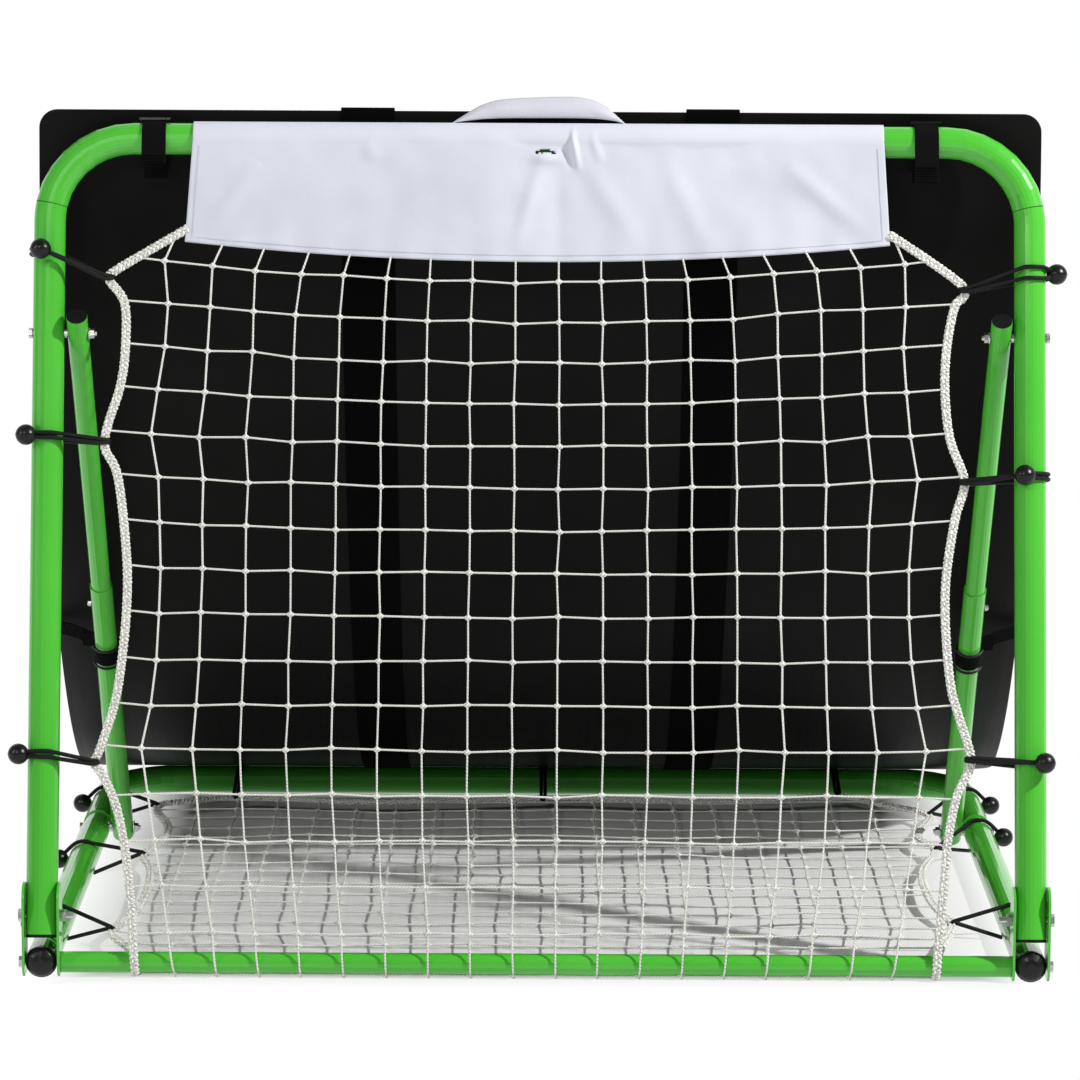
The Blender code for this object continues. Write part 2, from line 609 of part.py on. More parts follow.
def loft_tie(name, stations, across, around, material, parent):
    rings = []
    count = len(stations)
    for i in range(count):
        after = stations[(i + 1) % count] if around or i < count - 1 else stations[i]
        before = stations[i - 1] if around or i > 0 else stations[i]
        rings.append(tie_ring(stations[i], (after[0] - before[0]).normalized(), across))
    return loft(name, rings, material, parent, around=around)


def build_leg_ties(material, axis):
    """Three ties on each leg: a closed loop round it, from its ball to the edge of the net."""
    for tag, side, ties in (("l", -1, LEG_TIES_LEFT), ("r", 1, LEG_TIES_RIGHT)):
        net_way = X_AXIS * -side
        front_way = -BEHIND_LEG
        for number, (net_up, ball_up, inside, angle) in enumerate(ties, 1):
            centre = leg_point(side * HALF, ball_up)
            ball = ball_place(centre, net_way, front_way, angle)
            end = leg_point(side * (HALF - inside + TIE_GAP), net_up)
            leave = leave_angle(inside - TIE_GAP - 0.007) + 3
            front = wrap_points(centre, net_way, front_way, angle, leave)
            front.append(end - net_way * 0.007 + front_way * 0.0034)
            back = wrap_points(centre, net_way, front_way, angle, 360 - leave)
            back.append(end - net_way * 0.007 - front_way * 0.0034)
            to_front = (front[0] - ball).normalized()
            to_back = (back[0] - ball).normalized()
            stations = [ball_station(ball, to_back, 0.97), ball_station(ball, to_back, 0.80)]
            stations += [ball_station(ball, to_front, share) for share in (0.0, 0.80, 0.97)]
            route = front + [end] + back[::-1]
            stations += [(place, CORD_R, CORD_PAIR_R) for place in route]
            loft_tie("leg_tie_%s_%d" % (tag, number), stations, UP_LEG, True, material, axis)


def build_base_tie(name, centre, net_way, across, end, material):
    """A tie from a ball outside a floor tube, over the tube and down to the ground net."""
    ball = ball_place(centre, net_way, Z_AXIS, FLOOR_BALL_ANGLE)
    leave = leave_angle(HALF - SIDE_TIE_NET_X - TIE_GAP) - 1.5
    route = wrap_points(centre, net_way, Z_AXIS, FLOOR_BALL_ANGLE, leave)
    route += [route[-1].lerp(end, 0.5), end]
    away = (route[0] - ball).normalized()
    stations = [ball_station(ball, away, share) for share in (-0.97, -0.80, -0.45, 0.0, 0.45, 0.80, 0.97)]
    stations += [(place, CORD_R, CORD_PAIR_R) for place in route]
    loft_tie(name, stations, across, False, material, None)


def build_base_ties(material):
    """Three ties on each side tube and three on the rear bar, hooked into the ground net."""
    for tag, side, ties in (("l", -1, SIDE_TIES_LEFT), ("r", 1, SIDE_TIES_RIGHT)):
        for number, (net_back, ball_back) in enumerate(ties, 1):
            centre = Vector((side * HALF, PIVOT_Y + ball_back, BASE_Z))
            end = Vector((side * (SIDE_TIE_NET_X + TIE_GAP), PIVOT_Y + net_back, GROUND_NET_Z))
            name = "side_tie_%s_%d" % (tag, number)
            build_base_tie(name, centre, X_AXIS * -side, Y_AXIS, end, material)
    for tag, x in REAR_TIES:
        centre = Vector((x, REAR_Y, BASE_Z))
        end = Vector((x, PIVOT_Y + GROUND_NET_BACK + TIE_GAP, GROUND_NET_Z))
        build_base_tie("rear_tie_" + tag, centre, -Y_AXIS, X_AXIS, end, material)


# ---- fabric sleeve, handle and straps -----------------------------------------------------
def teardrop(origin, first, second, radius, tip, tip_half, sides=24):
    """Outline of a band round a bar that comes together at a tip. tip is its place along
    first and second, and the outline has one point for each point of a round bore."""
    tip_angle = math.atan2(tip[1], tip[0])
    points = []
    for i in range(sides):
        angle = tip_angle + 2 * math.pi * (i + 0.5) / sides
        away = math.hypot(*tip)
        turn = angle - tip_angle
        side = 1 if math.sin(turn) > 0 else -1
        opening = math.acos(min(1.0, (radius - tip_half) / away))
        bend = abs(math.atan2(math.sin(turn), math.cos(turn)))
        if i in (0, sides - 1):
            along, across = away, side * tip_half
        elif bend < opening:
            share = (bend - math.pi / sides) / (opening - math.pi / sides)
            along = away + (radius * math.cos(opening) - away) * share
            across = side * (tip_half + (radius * math.sin(opening) - tip_half) * share)
        else:
            along, across = radius * math.cos(bend), side * radius * math.sin(bend)
        u = along * math.cos(tip_angle) - across * math.sin(tip_angle)
        v = along * math.sin(tip_angle) + across * math.cos(tip_angle)
        points.append(origin + first * u + second * v)
    return points


def bore_outline(origin, first, second, radius, tip, sides=24):
    tip_angle = math.atan2(tip[1], tip[0])
    points = []
    for i in range(sides):
        angle = tip_angle + 2 * math.pi * (i + 0.5) / sides
        points.append(origin + (first * math.cos(angle) + second * math.sin(angle)) * radius)
    return points


def build_band(name, origin, first, second, bar_r, wall, tip, tip_half, run, material, parent):
    """A band round a bar that narrows to a tip, pushed along run about its origin."""
    bore_r = (bar_r + SLEEVE_GAP) / math.cos(math.pi / 24)
    outer = teardrop(origin, first, second, bore_r + wall, tip, tip_half)
    inner = bore_outline(origin, first, second, bore_r, tip)
    return ribbed(name, outer, inner, -run / 2, run, material, parent)


def build_sleeve(white, axis):
    """White fabric sleeve round the top bar, sewn together down to its hem, and its handle."""
    bar = leg_point(0.0, LEG_LENGTH)
    tip = (SLEEVE_HEM - LEG_LENGTH, -0.002)
    build_band("top_sleeve", bar, UP_LEG, BEHIND_LEG, TUBE_R, SLEEVE_WALL, tip, 0.002,
               X_AXIS * 2 * SLEEVE_HALF, white, axis)
    foot = LEG_LENGTH + (TUBE_R + SLEEVE_GAP) / math.cos(math.pi / 24) + SLEEVE_WALL + FIT
    rings = []
    for i in range(15):
        share = -1 + 2 * i / 14
        rise = 1 - abs(share) ** 2.6
        low = foot + HANDLE_SLOT * (1 - share ** 4)
        high = foot + 0.004 + (HANDLE_RISE - 0.004) * rise
        x = HANDLE_HALF * share
        near, far = -HANDLE_THICKNESS / 2, HANDLE_THICKNESS / 2
        rings.append([leg_point(x, low, near), leg_point(x, high, near),
                      leg_point(x, high, far), leg_point(x, low, far)])
    loft("carry_handle", rings, white, axis)


def build_straps(black, axis, slide_axes):
    """Straps that hang the panel from the top bar, their rings, and the straps round the struts."""
    band_r = (TUBE_R + SLEEVE_GAP) / math.cos(math.pi / 24) + STRAP_THICKNESS
    for tag, side in (("l", -1), ("r", 1)):
        bar = leg_point(side * HANG_STRAP_X, LEG_LENGTH)
        build_band("hang_strap_" + tag, bar, UP_LEG, BEHIND_LEG, TUBE_R, STRAP_THICKNESS,
                   (-0.034, 0.022), 0.002, X_AXIS * STRAP_WIDTH, black, axis)
        ring_at = leg_point(side * HANG_STRAP_X, LEG_LENGTH + band_r + FIT)
        outlines = []
        for length, depth in ((RING_LENGTH, RING_DEPTH), (RING_LENGTH - 0.006, RING_DEPTH - 0.006)):
            corners = ((-1, -1), (1, -1), (1, 1), (-1, 1))
            outlines.append([ring_at + X_AXIS * a * length / 2 + BEHIND_LEG * b * depth / 2 for a, b in corners])
        ribbed("strap_ring_" + tag, outlines[0], outlines[1], Vector(), UP_LEG * RING_THICKNESS, black, axis, False)
        centre = strut_point(side * STRUT_X, SIDE_STRAP_AT)
        build_band("side_strap_" + tag, centre, X_AXIS * side, BEHIND_STRUT, STRUT_LOWER_R, STRAP_THICKNESS,
                   (0.058, 0.036), 0.0015, DOWN_STRUT * STRAP_WIDTH, black, slide_axes[tag])


# ---- return panel -------------------------------------------------------------------------
def panel_profile():
    """Middle line of the panel seen from the side, as (place, forward normal) pairs. It hangs
    from behind the top bar, sweeps back and comes to rest on the rear bar."""
    bar = leg_point(0.0, LEG_LENGTH)
    top = Vector((0.0, bar.y + PANEL_BEHIND_BAR, bar.z + PANEL_ABOVE_BAR))
    low = Vector((0.0, REAR_Y - 0.002, BASE_Z + PANEL_ON_REAR_BAR))
    depth = low.y - top.y
    height = top.z - low.z
    first = Vector((0.0, top.y + 0.040 * depth, top.z - 0.511 * height))
    second = Vector((0.0, top.y + 0.522 * depth, top.z - 0.913 * height))
    stations = []
    steps = 30
    for i in range(steps + 1):
        t = i / steps
        a, b, c, d = (1 - t) ** 3, 3 * t * (1 - t) ** 2, 3 * t * t * (1 - t), t ** 3
        place = top * a + first * b + second * c + low * d
        slope = (first - top) * (1 - t) ** 2 + (second - first) * 2 * t * (1 - t) + (low - second) * t * t
        tangent = slope.normalized()
        stations.append((place, Vector((0.0, tangent.z, -tangent.y))))
    return stations


def build_panel(gloss, webbing):
    """Flexible black sheet with round corners, and two webbing strips down its face."""
    stations = panel_profile()
    lengths = [0.0]
    for (low, _), (high, _) in zip(stations, stations[1:]):
        lengths.append(lengths[-1] + (high - low).length)
    total = lengths[-1]
    rings = []
    for (place, normal), run in zip(corner_stations(stations, lengths), corner_runs(lengths)):
        half = PANEL_TOP_HALF + (PANEL_BOTTOM_HALF - PANEL_TOP_HALF) * run / total
        half -= corner_cut(run, PANEL_TOP_CORNER) + corner_cut(total - run, PANEL_BOTTOM_CORNER)
        rings.append(sheet_ring(place, normal, -half, half, 0.0, PANEL_THICKNESS))
    loft("rear_panel", rings, gloss)
    middle = (PANEL_THICKNESS + STRIP_THICKNESS) / 2 + FIT
    for tag, side in (("l", -1), ("r", 1)):
        low, high = side * STRIP_X - STRIP_WIDTH / 2, side * STRIP_X + STRIP_WIDTH / 2
        rings = [sheet_ring(p, n, low, high, middle, STRIP_THICKNESS) for p, n in stations]
        loft("panel_strip_" + tag, rings, webbing)


def corner_cut(run, radius):
    """How much a round corner takes off the sheet's half width, run away from its end."""
    if run >= radius:
        return 0.0
    return radius - math.sqrt(max(0.0, radius * radius - (radius - run) ** 2))


def corner_runs(lengths):
    """Places along the sheet: its own stations and extra ones inside the round corners."""
    total = lengths[-1]
    runs = [run for run in lengths if PANEL_TOP_CORNER < run < total - PANEL_BOTTOM_CORNER]
    for i in range(7):
        turn = math.pi / 2 * i / 6
        runs.append(PANEL_TOP_CORNER * (1 - math.cos(turn)))
        runs.append(total - PANEL_BOTTOM_CORNER * (1 - math.cos(turn)))
    return sorted(runs)


def corner_stations(stations, lengths):
    found = []
    for run in corner_runs(lengths):
        index = 0
        while index < len(lengths) - 2 and lengths[index + 1] < run:
            index += 1
        share = (run - lengths[index]) / (lengths[index + 1] - lengths[index])
        (low, low_normal), (high, high_normal) = stations[index], stations[index + 1]
        found.append((low.lerp(high, share), low_normal.lerp(high_normal, share).normalized()))
    return found


def sheet_ring(place, normal, low, high, middle, thickness):
    """Four corners across a sheet, whose middle lies in front of place by middle."""
    near = place + normal * (middle + thickness / 2)
    far = place + normal * (middle - thickness / 2)
    return [near + X_AXIS * low, near + X_AXIS * high, far + X_AXIS * high, far + X_AXIS * low]


# ---- whole object -------------------------------------------------------------------------
def build():
    clear_scene()
    green = make_material("green_powder_coat", GREEN, 0.25)
    black = make_material("black_plastic", BLACK, 0.45)
    rubber = make_material("black_elastic", BLACK, 0.70)
    zinc = make_material("zinc_plate", ZINC, 0.35, 1.0)
    white = make_material("white_fabric", WHITE, 0.85)
    gloss = make_material("black_sheet", BLACK, 0.30)
    webbing = make_material("black_webbing", BLACK, 0.90)
    hinge_axis = make_axis("net_frame_axis", PIVOT)
    top_axes = {}
    slide_axes = {}
    for tag, side in (("l", -1), ("r", 1)):
        top_axes[tag] = make_axis("strut_top_axis_" + tag, strut_point(side * STRUT_X, 0.0))
        slide_axes[tag] = make_axis("strut_slide_axis_" + tag, strut_point(side * STRUT_X, STRUT_SLEEVE_START))
    build_base(green, black, zinc)
    build_net_frame(green, black, zinc, hinge_axis)
    build_struts(green, black, zinc, hinge_axis, top_axes, slide_axes)
    build_nets(white, hinge_axis)
    build_leg_ties(rubber, hinge_axis)
    build_base_ties(rubber)
    build_sleeve(white, hinge_axis)
    build_straps(webbing, hinge_axis, slide_axes)
    build_panel(gloss, webbing)


build()
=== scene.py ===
"""Looks of the rebounder: twine nets, canvas, webbing, elastic ties, materials, light and camera,
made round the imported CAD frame. Metres, +Z up; +Y runs from the leaning net back to the rear bar."""
import json
import math

import bpy
from mathutils import Matrix, Vector, noise


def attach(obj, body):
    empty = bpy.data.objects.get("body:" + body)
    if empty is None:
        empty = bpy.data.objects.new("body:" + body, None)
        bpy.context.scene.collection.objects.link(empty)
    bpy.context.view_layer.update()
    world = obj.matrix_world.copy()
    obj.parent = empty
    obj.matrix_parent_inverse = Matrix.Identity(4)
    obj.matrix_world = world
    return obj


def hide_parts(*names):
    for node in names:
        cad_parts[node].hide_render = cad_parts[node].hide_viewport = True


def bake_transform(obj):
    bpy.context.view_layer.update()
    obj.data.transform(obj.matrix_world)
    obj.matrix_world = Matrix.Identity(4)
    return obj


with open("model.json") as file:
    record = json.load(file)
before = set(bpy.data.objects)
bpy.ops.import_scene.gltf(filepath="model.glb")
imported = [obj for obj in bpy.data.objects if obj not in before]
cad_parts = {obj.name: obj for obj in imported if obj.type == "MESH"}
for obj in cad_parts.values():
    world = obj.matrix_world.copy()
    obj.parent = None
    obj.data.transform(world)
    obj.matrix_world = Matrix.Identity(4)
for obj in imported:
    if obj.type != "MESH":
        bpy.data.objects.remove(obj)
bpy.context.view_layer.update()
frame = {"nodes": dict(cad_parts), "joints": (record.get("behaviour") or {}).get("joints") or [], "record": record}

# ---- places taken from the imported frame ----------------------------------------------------
JOINTS = {joint["name"]: joint for joint in frame["joints"]}
PIVOT = Vector(JOINTS["frame_tilt"]["pos_m"])
STRUT_TOP = Vector((0.0, *JOINTS["strut_swing_r"]["pos_m"][1:]))
STRUT_X = JOINTS["strut_swing_r"]["pos_m"][0]
DOWN_STRUT = Vector(JOINTS["strut_slide_r"]["axis"])
BEHIND_STRUT = Vector((0.0, -DOWN_STRUT.z, DOWN_STRUT.y))
LEAN = math.radians(13.0)
UP_LEG = Vector((0.0, math.sin(LEAN), math.cos(LEAN)))
BEHIND_LEG = Vector((0.0, math.cos(LEAN), -math.sin(LEAN)))
X_AXIS = Vector((1.0, 0.0, 0.0))
Y_AXIS = Vector((0.0, 1.0, 0.0))
Z_AXIS = Vector((0.0, 0.0, 1.0))
SIDES = (("l", -1), ("r", 1))

HALF = 0.5905                # leg centre lines, either side of the middle
TUBE_R = 0.01905
TUBE_Z = 0.0189
LEG_LENGTH = 0.935
BASE_DEPTH = 1.048
REAR_Y = PIVOT.y + BASE_DEPTH
CROSSBAR_R = 0.0127
CROSSBAR_Z = 0.016
STRUT_SLEEVE_R = 0.0143
STRUT_UPPER_R = 0.0127
STRUT_TOP_END = 0.028        # strut's upper end above its top bolt
NECK_R = TUBE_R - 0.0018
BEND_R = 0.100
SEAM_UP = 0.855              # up the legs, where the top bow's full tube ends

TWINE_R = 0.00125
KNOT_R = 0.0030
BRAID_HALF = 0.0037          # the edge rope: half its width, its plies' radius and its pitch
BRAID_PLY_R = 0.0023
BRAID_PITCH = 0.0175
PATH_STEP = 0.0025           # between the points of a rope or an elastic
NET_STRINGS = 18
NET_ROWS = 17
NET_FRONT = -0.003           # the net's place in front of the leg plane
NET_HALF = 0.440             # nominal half width of the strings' field
EDGE_PULL = 0.62             # share of the edge's bend that the nearest string follows
EDGE_PULL_REACH = 0.070      # how far in from the edge that share falls off
GROUND_ROWS = 17
GROUND_Z = 0.0185
REAR_MARGIN = 0.010          # rows of the ground net end this far in front of its rear edge
BALL_R = 0.0125
ELASTIC_R = 0.0026
BALL_STANDOFF = 0.0325
FLOOR_BALL_ANGLE = 182       # how far the floor ties' balls are turned round their tubes
FLOOR_FADE = 0.11            # the shaded floor fades to white over this distance


# ---- frames of reference ------------------------------------------------------------------
def leg_point(x, up, behind=0.0):
    """A point beside the legs: across, up along them from the hinge line, and behind them."""
    return Vector((0.0, PIVOT.y, PIVOT.z)) + X_AXIS * x + UP_LEG * up + BEHIND_LEG * behind


def strut_point(x, down, behind=0.0):
    return STRUT_TOP + X_AXIS * x + DOWN_STRUT * down + BEHIND_STRUT * behind


def floor_point(x, back, z):
    return Vector((x, PIVOT.y + back, z))


def smooth_through(points, count):
    """Points on a Catmull-Rom curve through given ones, count to each span."""
    points = [Vector(p) for p in points]
    ends = [points[0] * 2 - points[1]] + points + [points[-1] * 2 - points[-2]]
    curve = []
    for a, b, c, d in zip(ends, ends[1:], ends[2:], ends[3:]):
        for i in range(count):
            t = i / count
            curve.append(0.5 * (b * 2 + (c - a) * t + (a * 2 - b * 5 + c * 4 - d) * t ** 2
                                + (b * 3 - a - c * 3 + d) * t ** 3))
    return curve + [points[-1]]


def between(knots, at):
    """Value at a place, read along a list of (place, value) knots that rises."""
    for (low, first), (high, last) in zip(knots, knots[1:]):
        if at <= high:
            share = max(0.0, (at - low) / (high - low))
            return first + (last - first) * share
    return knots[-1][1]


def clamp(value, low=0.0, high=1.0):
    return max(low, min(high, value))


def bell(offset, width):
    """1 at no offset, falling smoothly to nothing a few widths away."""
    return math.exp(-(offset / width) ** 2)


def ripple(place, scale, seed=0.0):
    """Smooth noise from -1 to 1 at a place."""
    return noise.noise(Vector(place) * scale + Vector((seed, seed * 1.7, seed * 0.3)))


# ---- mesh building ------------------------------------------------------------------------
class Strands:
    """Collects strands, ribbons and beads into one mesh, with UVs round (u) and along (v) them."""

    def __init__(self):
        self.points = []
        self.faces = []
        self.uvs = []
        self.slots = []

    def ring_loft(self, rings, lengths, closed=False, slot=0):
        first = len(self.points)
        sides = len(rings[0])
        for ring in rings:
            self.points.extend(ring)
        count = len(rings)
        spans = count if closed else count - 1
        for k in range(spans):
            low = first + k * sides
            high = first + ((k + 1) % count) * sides
            for i in range(sides):
                j = (i + 1) % sides
                self.faces.append((low + i, low + j, high + j, high + i))
                u, w = i / sides, (i + 1) / sides
                v, z = lengths[k], lengths[k + 1]
                self.uvs.append(((u, v), (w, v), (w, z), (u, z)))
                self.slots.append(slot)
        if not closed:
            for start, order in ((first, -1), (first + (count - 1) * sides, 1)):
                cap = [start + i for i in range(sides)][::order]
                self.faces.append(tuple(cap))
                self.uvs.append(tuple((0.5, 0.0) for _ in cap))
                self.slots.append(slot)

    def strand(self, path, radius, sides=6, closed=False, slot=0):
        """A round strand along path. radius is one size or one for each point."""
        radii = radius if isinstance(radius, (list, tuple)) else [radius] * len(path)
        second = None
        rings = []
        lengths = [0.0]
        count = len(path)
        for k in range(count):
            after = path[(k + 1) % count] if closed or k < count - 1 else path[k]
            before = path[k - 1] if closed or k > 0 else path[k]
            tangent = (after - before).normalized()
            if second is None:
                second = Z_AXIS if abs(tangent.z) < 0.9 else X_AXIS
            second = (second - tangent * second.dot(tangent)).normalized()
            first = tangent.cross(second)
            ring = []
            for i in range(sides):
                angle = 2 * math.pi * (i + 0.5) / sides
                ring.append(path[k] + (first * math.sin(angle) + second * math.cos(angle)) * radii[k])
            rings.append(ring)
            lengths.append(lengths[-1] + (path[(k + 1) % count] - path[k]).length)
        self.ring_loft(rings, lengths, closed, slot)

    def ribbon(self, path, across, width, thickness, slot=0):
        """A flat webbing band with softly rounded edges along path."""
        half, edge = width / 2, thickness / 2
        section = ((-half, 0.0), (-half + edge * 0.6, edge), (half - edge * 0.6, edge),
                   (half, 0.0), (half - edge * 0.6, -edge), (-half + edge * 0.6, -edge))
        rings = []
        lengths = [0.0]
        for k, place in enumerate(path):
            tangent = (path[min(k + 1, len(path) - 1)] - path[max(k - 1, 0)]).normalized()
            normal = tangent.cross(across).normalized()
            rings.append([place + across * a + normal * b for a, b in section])
            if k:
                lengths.append(lengths[-1] + (place - path[k - 1]).length)
        self.ring_loft(rings, lengths, False, slot)

    def bead(self, place, axis, radius, reach):
        """A small round lump, reach long to each side along axis."""
        path = [place + axis * reach * share for share in (-1.0, -0.72, 0.0, 0.72, 1.0)]
        self.strand(path, [radius * s for s in (0.35, 0.8, 1.0, 0.8, 0.35)])

    def ball(self, place, axis, radius, slot):
        """A moulded ball with a raised parting line round its middle."""
        path = []
        radii = []
        steps = 18
        reach = math.pi / 2 * 0.985
        for i in range(steps + 1):
            angle = reach * (-1 + 2 * i / steps)
            path.append(place + axis * radius * math.sin(angle))
            radii.append(radius * math.cos(angle))
        radii[steps // 2] *= 1.025
        self.strand(path, radii, 24, slot=slot)

    def build(self, name, materials):
        mesh = bpy.data.meshes.new(name)
        mesh.from_pydata([tuple(p) for p in self.points], [], self.faces)
        layer = mesh.uv_layers.new(name="along")
        flat = [value for face in self.uvs for corner in face for value in corner]
        layer.data.foreach_set("uv", flat)
        for material in materials:
            mesh.materials.append(material)
        mesh.polygons.foreach_set("material_index", self.slots)
        mesh.shade_smooth()
        mesh.set_sharp_from_angle(angle=math.radians(48))
        mesh.update()
        obj = bpy.data.objects.new(name, mesh)
        bpy.context.scene.collection.objects.link(obj)
        return obj


def surface_grid(name, rows, material, thickness, holes=()):
    """A cloth sheet of some thickness through a grid of points. holes are cells (row, column)."""
    points = [tuple(p) for row in rows for p in row]
    width = len(rows[0])
    faces = []
    for r in range(len(rows) - 1):
        for c in range(width - 1):
            if (r, c) in holes:
                continue
            a = r * width + c
            faces.append((a, a + 1, a + width + 1, a + width))
    mesh = bpy.data.meshes.new(name)
    mesh.from_pydata(points, [], faces)
    mesh.validate()
    mesh.materials.append(material)
    mesh.shade_smooth()
    obj = bpy.data.objects.new(name, mesh)
    bpy.context.scene.collection.objects.link(obj)
    solid = obj.modifiers.new("thickness", "SOLIDIFY")
    solid.thickness = thickness
    solid.offset = 0.0
    return obj


# ---- materials ----------------------------------------------------------------------------
class Surface:
    """A Principled material with short calls for its procedural detail."""

    def __init__(self, name, colour, roughness, **constants):
        self.material = bpy.data.materials.new(name)
        self.material.use_nodes = True
        self.tree = self.material.node_tree
        self.shader = self.tree.nodes["Principled BSDF"]
        self.shader.inputs["Base Color"].default_value = (*colour, 1.0)
        self.shader.inputs["Roughness"].default_value = roughness
        for socket, value in constants.items():
            self.shader.inputs[socket.replace("_", " ")].default_value = value

    def node(self, kind, **values):
        made = self.tree.nodes.new(kind)
        for key, value in values.items():
            socket = made.inputs.get(key.replace("_", " "))
            if socket is not None:
                socket.default_value = value
            else:
                setattr(made, key, value)
        return made

    def join(self, source, target):
        self.tree.links.new(source, target)

    def coordinates(self, kind="Object", scale=(1.0, 1.0, 1.0)):
        source = self.node("ShaderNodeTexCoord")
        mapping = self.node("ShaderNodeMapping")
        mapping.inputs["Scale"].default_value = scale
        self.join(source.outputs[kind], mapping.inputs["Vector"])
        return mapping.outputs["Vector"]

    def noise(self, vector, scale, detail=3.0, rough=0.5):
        made = self.node("ShaderNodeTexNoise", Scale=scale, Detail=detail, Roughness=rough)
        self.join(vector, made.inputs["Vector"])
        return made.outputs["Fac"]

    def wave(self, vector, scale, direction="X", distortion=0.0):
        made = self.node("ShaderNodeTexWave", Scale=scale, Distortion=distortion)
        made.bands_direction = direction
        self.join(vector, made.inputs["Vector"])
        return made.outputs["Fac"]

    def math(self, operation, a, b=0.0):
        made = self.node("ShaderNodeMath", operation=operation)
        for socket, value in zip(made.inputs, (a, b)):
            if isinstance(value, (int, float)):
                socket.default_value = value
            else:
                self.join(value, socket)
        return made.outputs[0]

    def spread(self, factor, low, high, start=0.0, end=1.0):
        """Turn a pattern that runs from start to end into numbers from low to high."""
        made = self.node("ShaderNodeMapRange")
        for name, value in (("From Min", start), ("From Max", end), ("To Min", low), ("To Max", high)):
            made.inputs[name].default_value = value
        self.join(factor, made.inputs["Value"])
        return made.outputs["Result"]

    def twist(self, turns, pitch, lay="ADD"):
        """Sine pattern of plies wound round a strand, each pitch along it; lay is ADD or SUBTRACT."""
        split = self.node("ShaderNodeSeparateXYZ")
        self.join(self.coordinates("UV"), split.inputs["Vector"])
        turn = self.math("MULTIPLY", split.outputs["X"], 2.0 * math.pi * turns)
        advance = self.math("MULTIPLY", split.outputs["Y"], 2.0 * math.pi / pitch)
        return self.math("SINE", self.math(lay, advance, turn))

    def tint(self, factor, first, second, start=0.3, end=0.7):
        ramp = self.node("ShaderNodeValToRGB")
        ramp.color_ramp.elements[0].position = start
        ramp.color_ramp.elements[1].position = end
        ramp.color_ramp.elements[0].color = (*first, 1.0)
        ramp.color_ramp.elements[1].color = (*second, 1.0)
        self.join(factor, ramp.inputs["Fac"])
        self.join(ramp.outputs["Color"], self.shader.inputs["Base Color"])

    def roughness(self, factor, low, high):
        self.join(self.spread(factor, low, high), self.shader.inputs["Roughness"])

    def bump(self, height, strength, distance):
        made = self.node("ShaderNodeBump", Strength=strength, Distance=distance)
        self.join(height, made.inputs["Height"])
        previous = self.shader.inputs["Normal"].links
        if previous:
            self.join(previous[0].from_socket, made.inputs["Normal"])
        self.join(made.outputs["Normal"], self.shader.inputs["Normal"])


def powder_coat():
    """Glossy green paint with fine orange peel and faint handling marks."""
    paint = Surface("green_paint", (0.067, 0.430, 0.034), 0.24, Coat_Weight=0.40,
                    Coat_Roughness=0.04, Specular_IOR_Level=0.35)
    place = paint.coordinates()
    paint.tint(paint.noise(place, 3.5, 4.0), (0.058, 0.395, 0.028), (0.076, 0.455, 0.038), 0.25, 0.75)
    paint.roughness(paint.noise(place, 28.0, 5.0, 0.65), 0.16, 0.26)
    paint.bump(paint.noise(place, 300.0, 2.0), 0.035, 0.0002)
    return paint.material


def moulded_plastic():
    plastic = Surface("black_moulding", (0.004, 0.004, 0.0045), 0.30, Specular_IOR_Level=0.30)
    place = plastic.coordinates()
    plastic.roughness(plastic.noise(place, 60.0, 4.0), 0.24, 0.40)
    plastic.tint(plastic.noise(place, 25.0, 4.0), (0.0025, 0.0025, 0.003), (0.0065, 0.0065, 0.007))
    plastic.bump(plastic.noise(place, 900.0, 2.0), 0.22, 0.0003)
    return plastic.material


def zinc():
    metal = Surface("zinc", (0.60, 0.60, 0.585), 0.32, Metallic=1.0)
    place = metal.coordinates()
    metal.tint(metal.noise(place, 160.0, 4.0, 0.6), (0.46, 0.46, 0.44), (0.72, 0.72, 0.71))
    metal.roughness(metal.noise(place, 300.0, 4.0), 0.22, 0.48)
    metal.bump(metal.noise(place, 700.0, 2.0), 0.15, 0.0002)
    return metal.material


def twine():
    """White nylon twine: two twisted plies, slightly yellowed."""
    cord = Surface("white_twine", (0.70, 0.69, 0.64), 0.70, Sheen_Weight=0.2)
    height = cord.spread(cord.twist(2, 0.0042), 0.0, 1.0, -1.0, 1.0)
    dirt = cord.noise(cord.coordinates(), 35.0, 4.0)
    # The grooves between the plies are tinted darker than their crowns, as painted shade; the noise mixed in is
    # real dirt.
    shade = cord.math("ADD", cord.math("MULTIPLY", height, 0.55), cord.math("MULTIPLY", dirt, 0.45))
    cord.tint(shade, (0.40, 0.39, 0.345), (0.80, 0.79, 0.745), 0.10, 0.60)
    cord.bump(height, 0.8, 0.0008)
    return cord.material


def canvas():
    """Bleached white plain-weave canvas."""
    cloth = Surface("white_canvas", (0.74, 0.75, 0.78), 0.80, Sheen_Weight=0.10, Sheen_Roughness=0.5)
    place = cloth.coordinates()
    warp = cloth.wave(place, 95.0, "X", 0.4)
    weft = cloth.wave(place, 95.0, "Z", 0.4)
    weave = cloth.math("MULTIPLY", warp, weft)
    cloth.tint(cloth.noise(place, 5.0, 5.0, 0.6), (0.520, 0.530, 0.600), (0.600, 0.612, 0.675))
    cloth.roughness(cloth.noise(place, 40.0, 3.0), 0.70, 0.88)
    cloth.bump(weave, 0.10, 0.0004)
    cloth.bump(cloth.noise(place, 22.0, 5.0, 0.6), 0.22, 0.003)
    return cloth.material


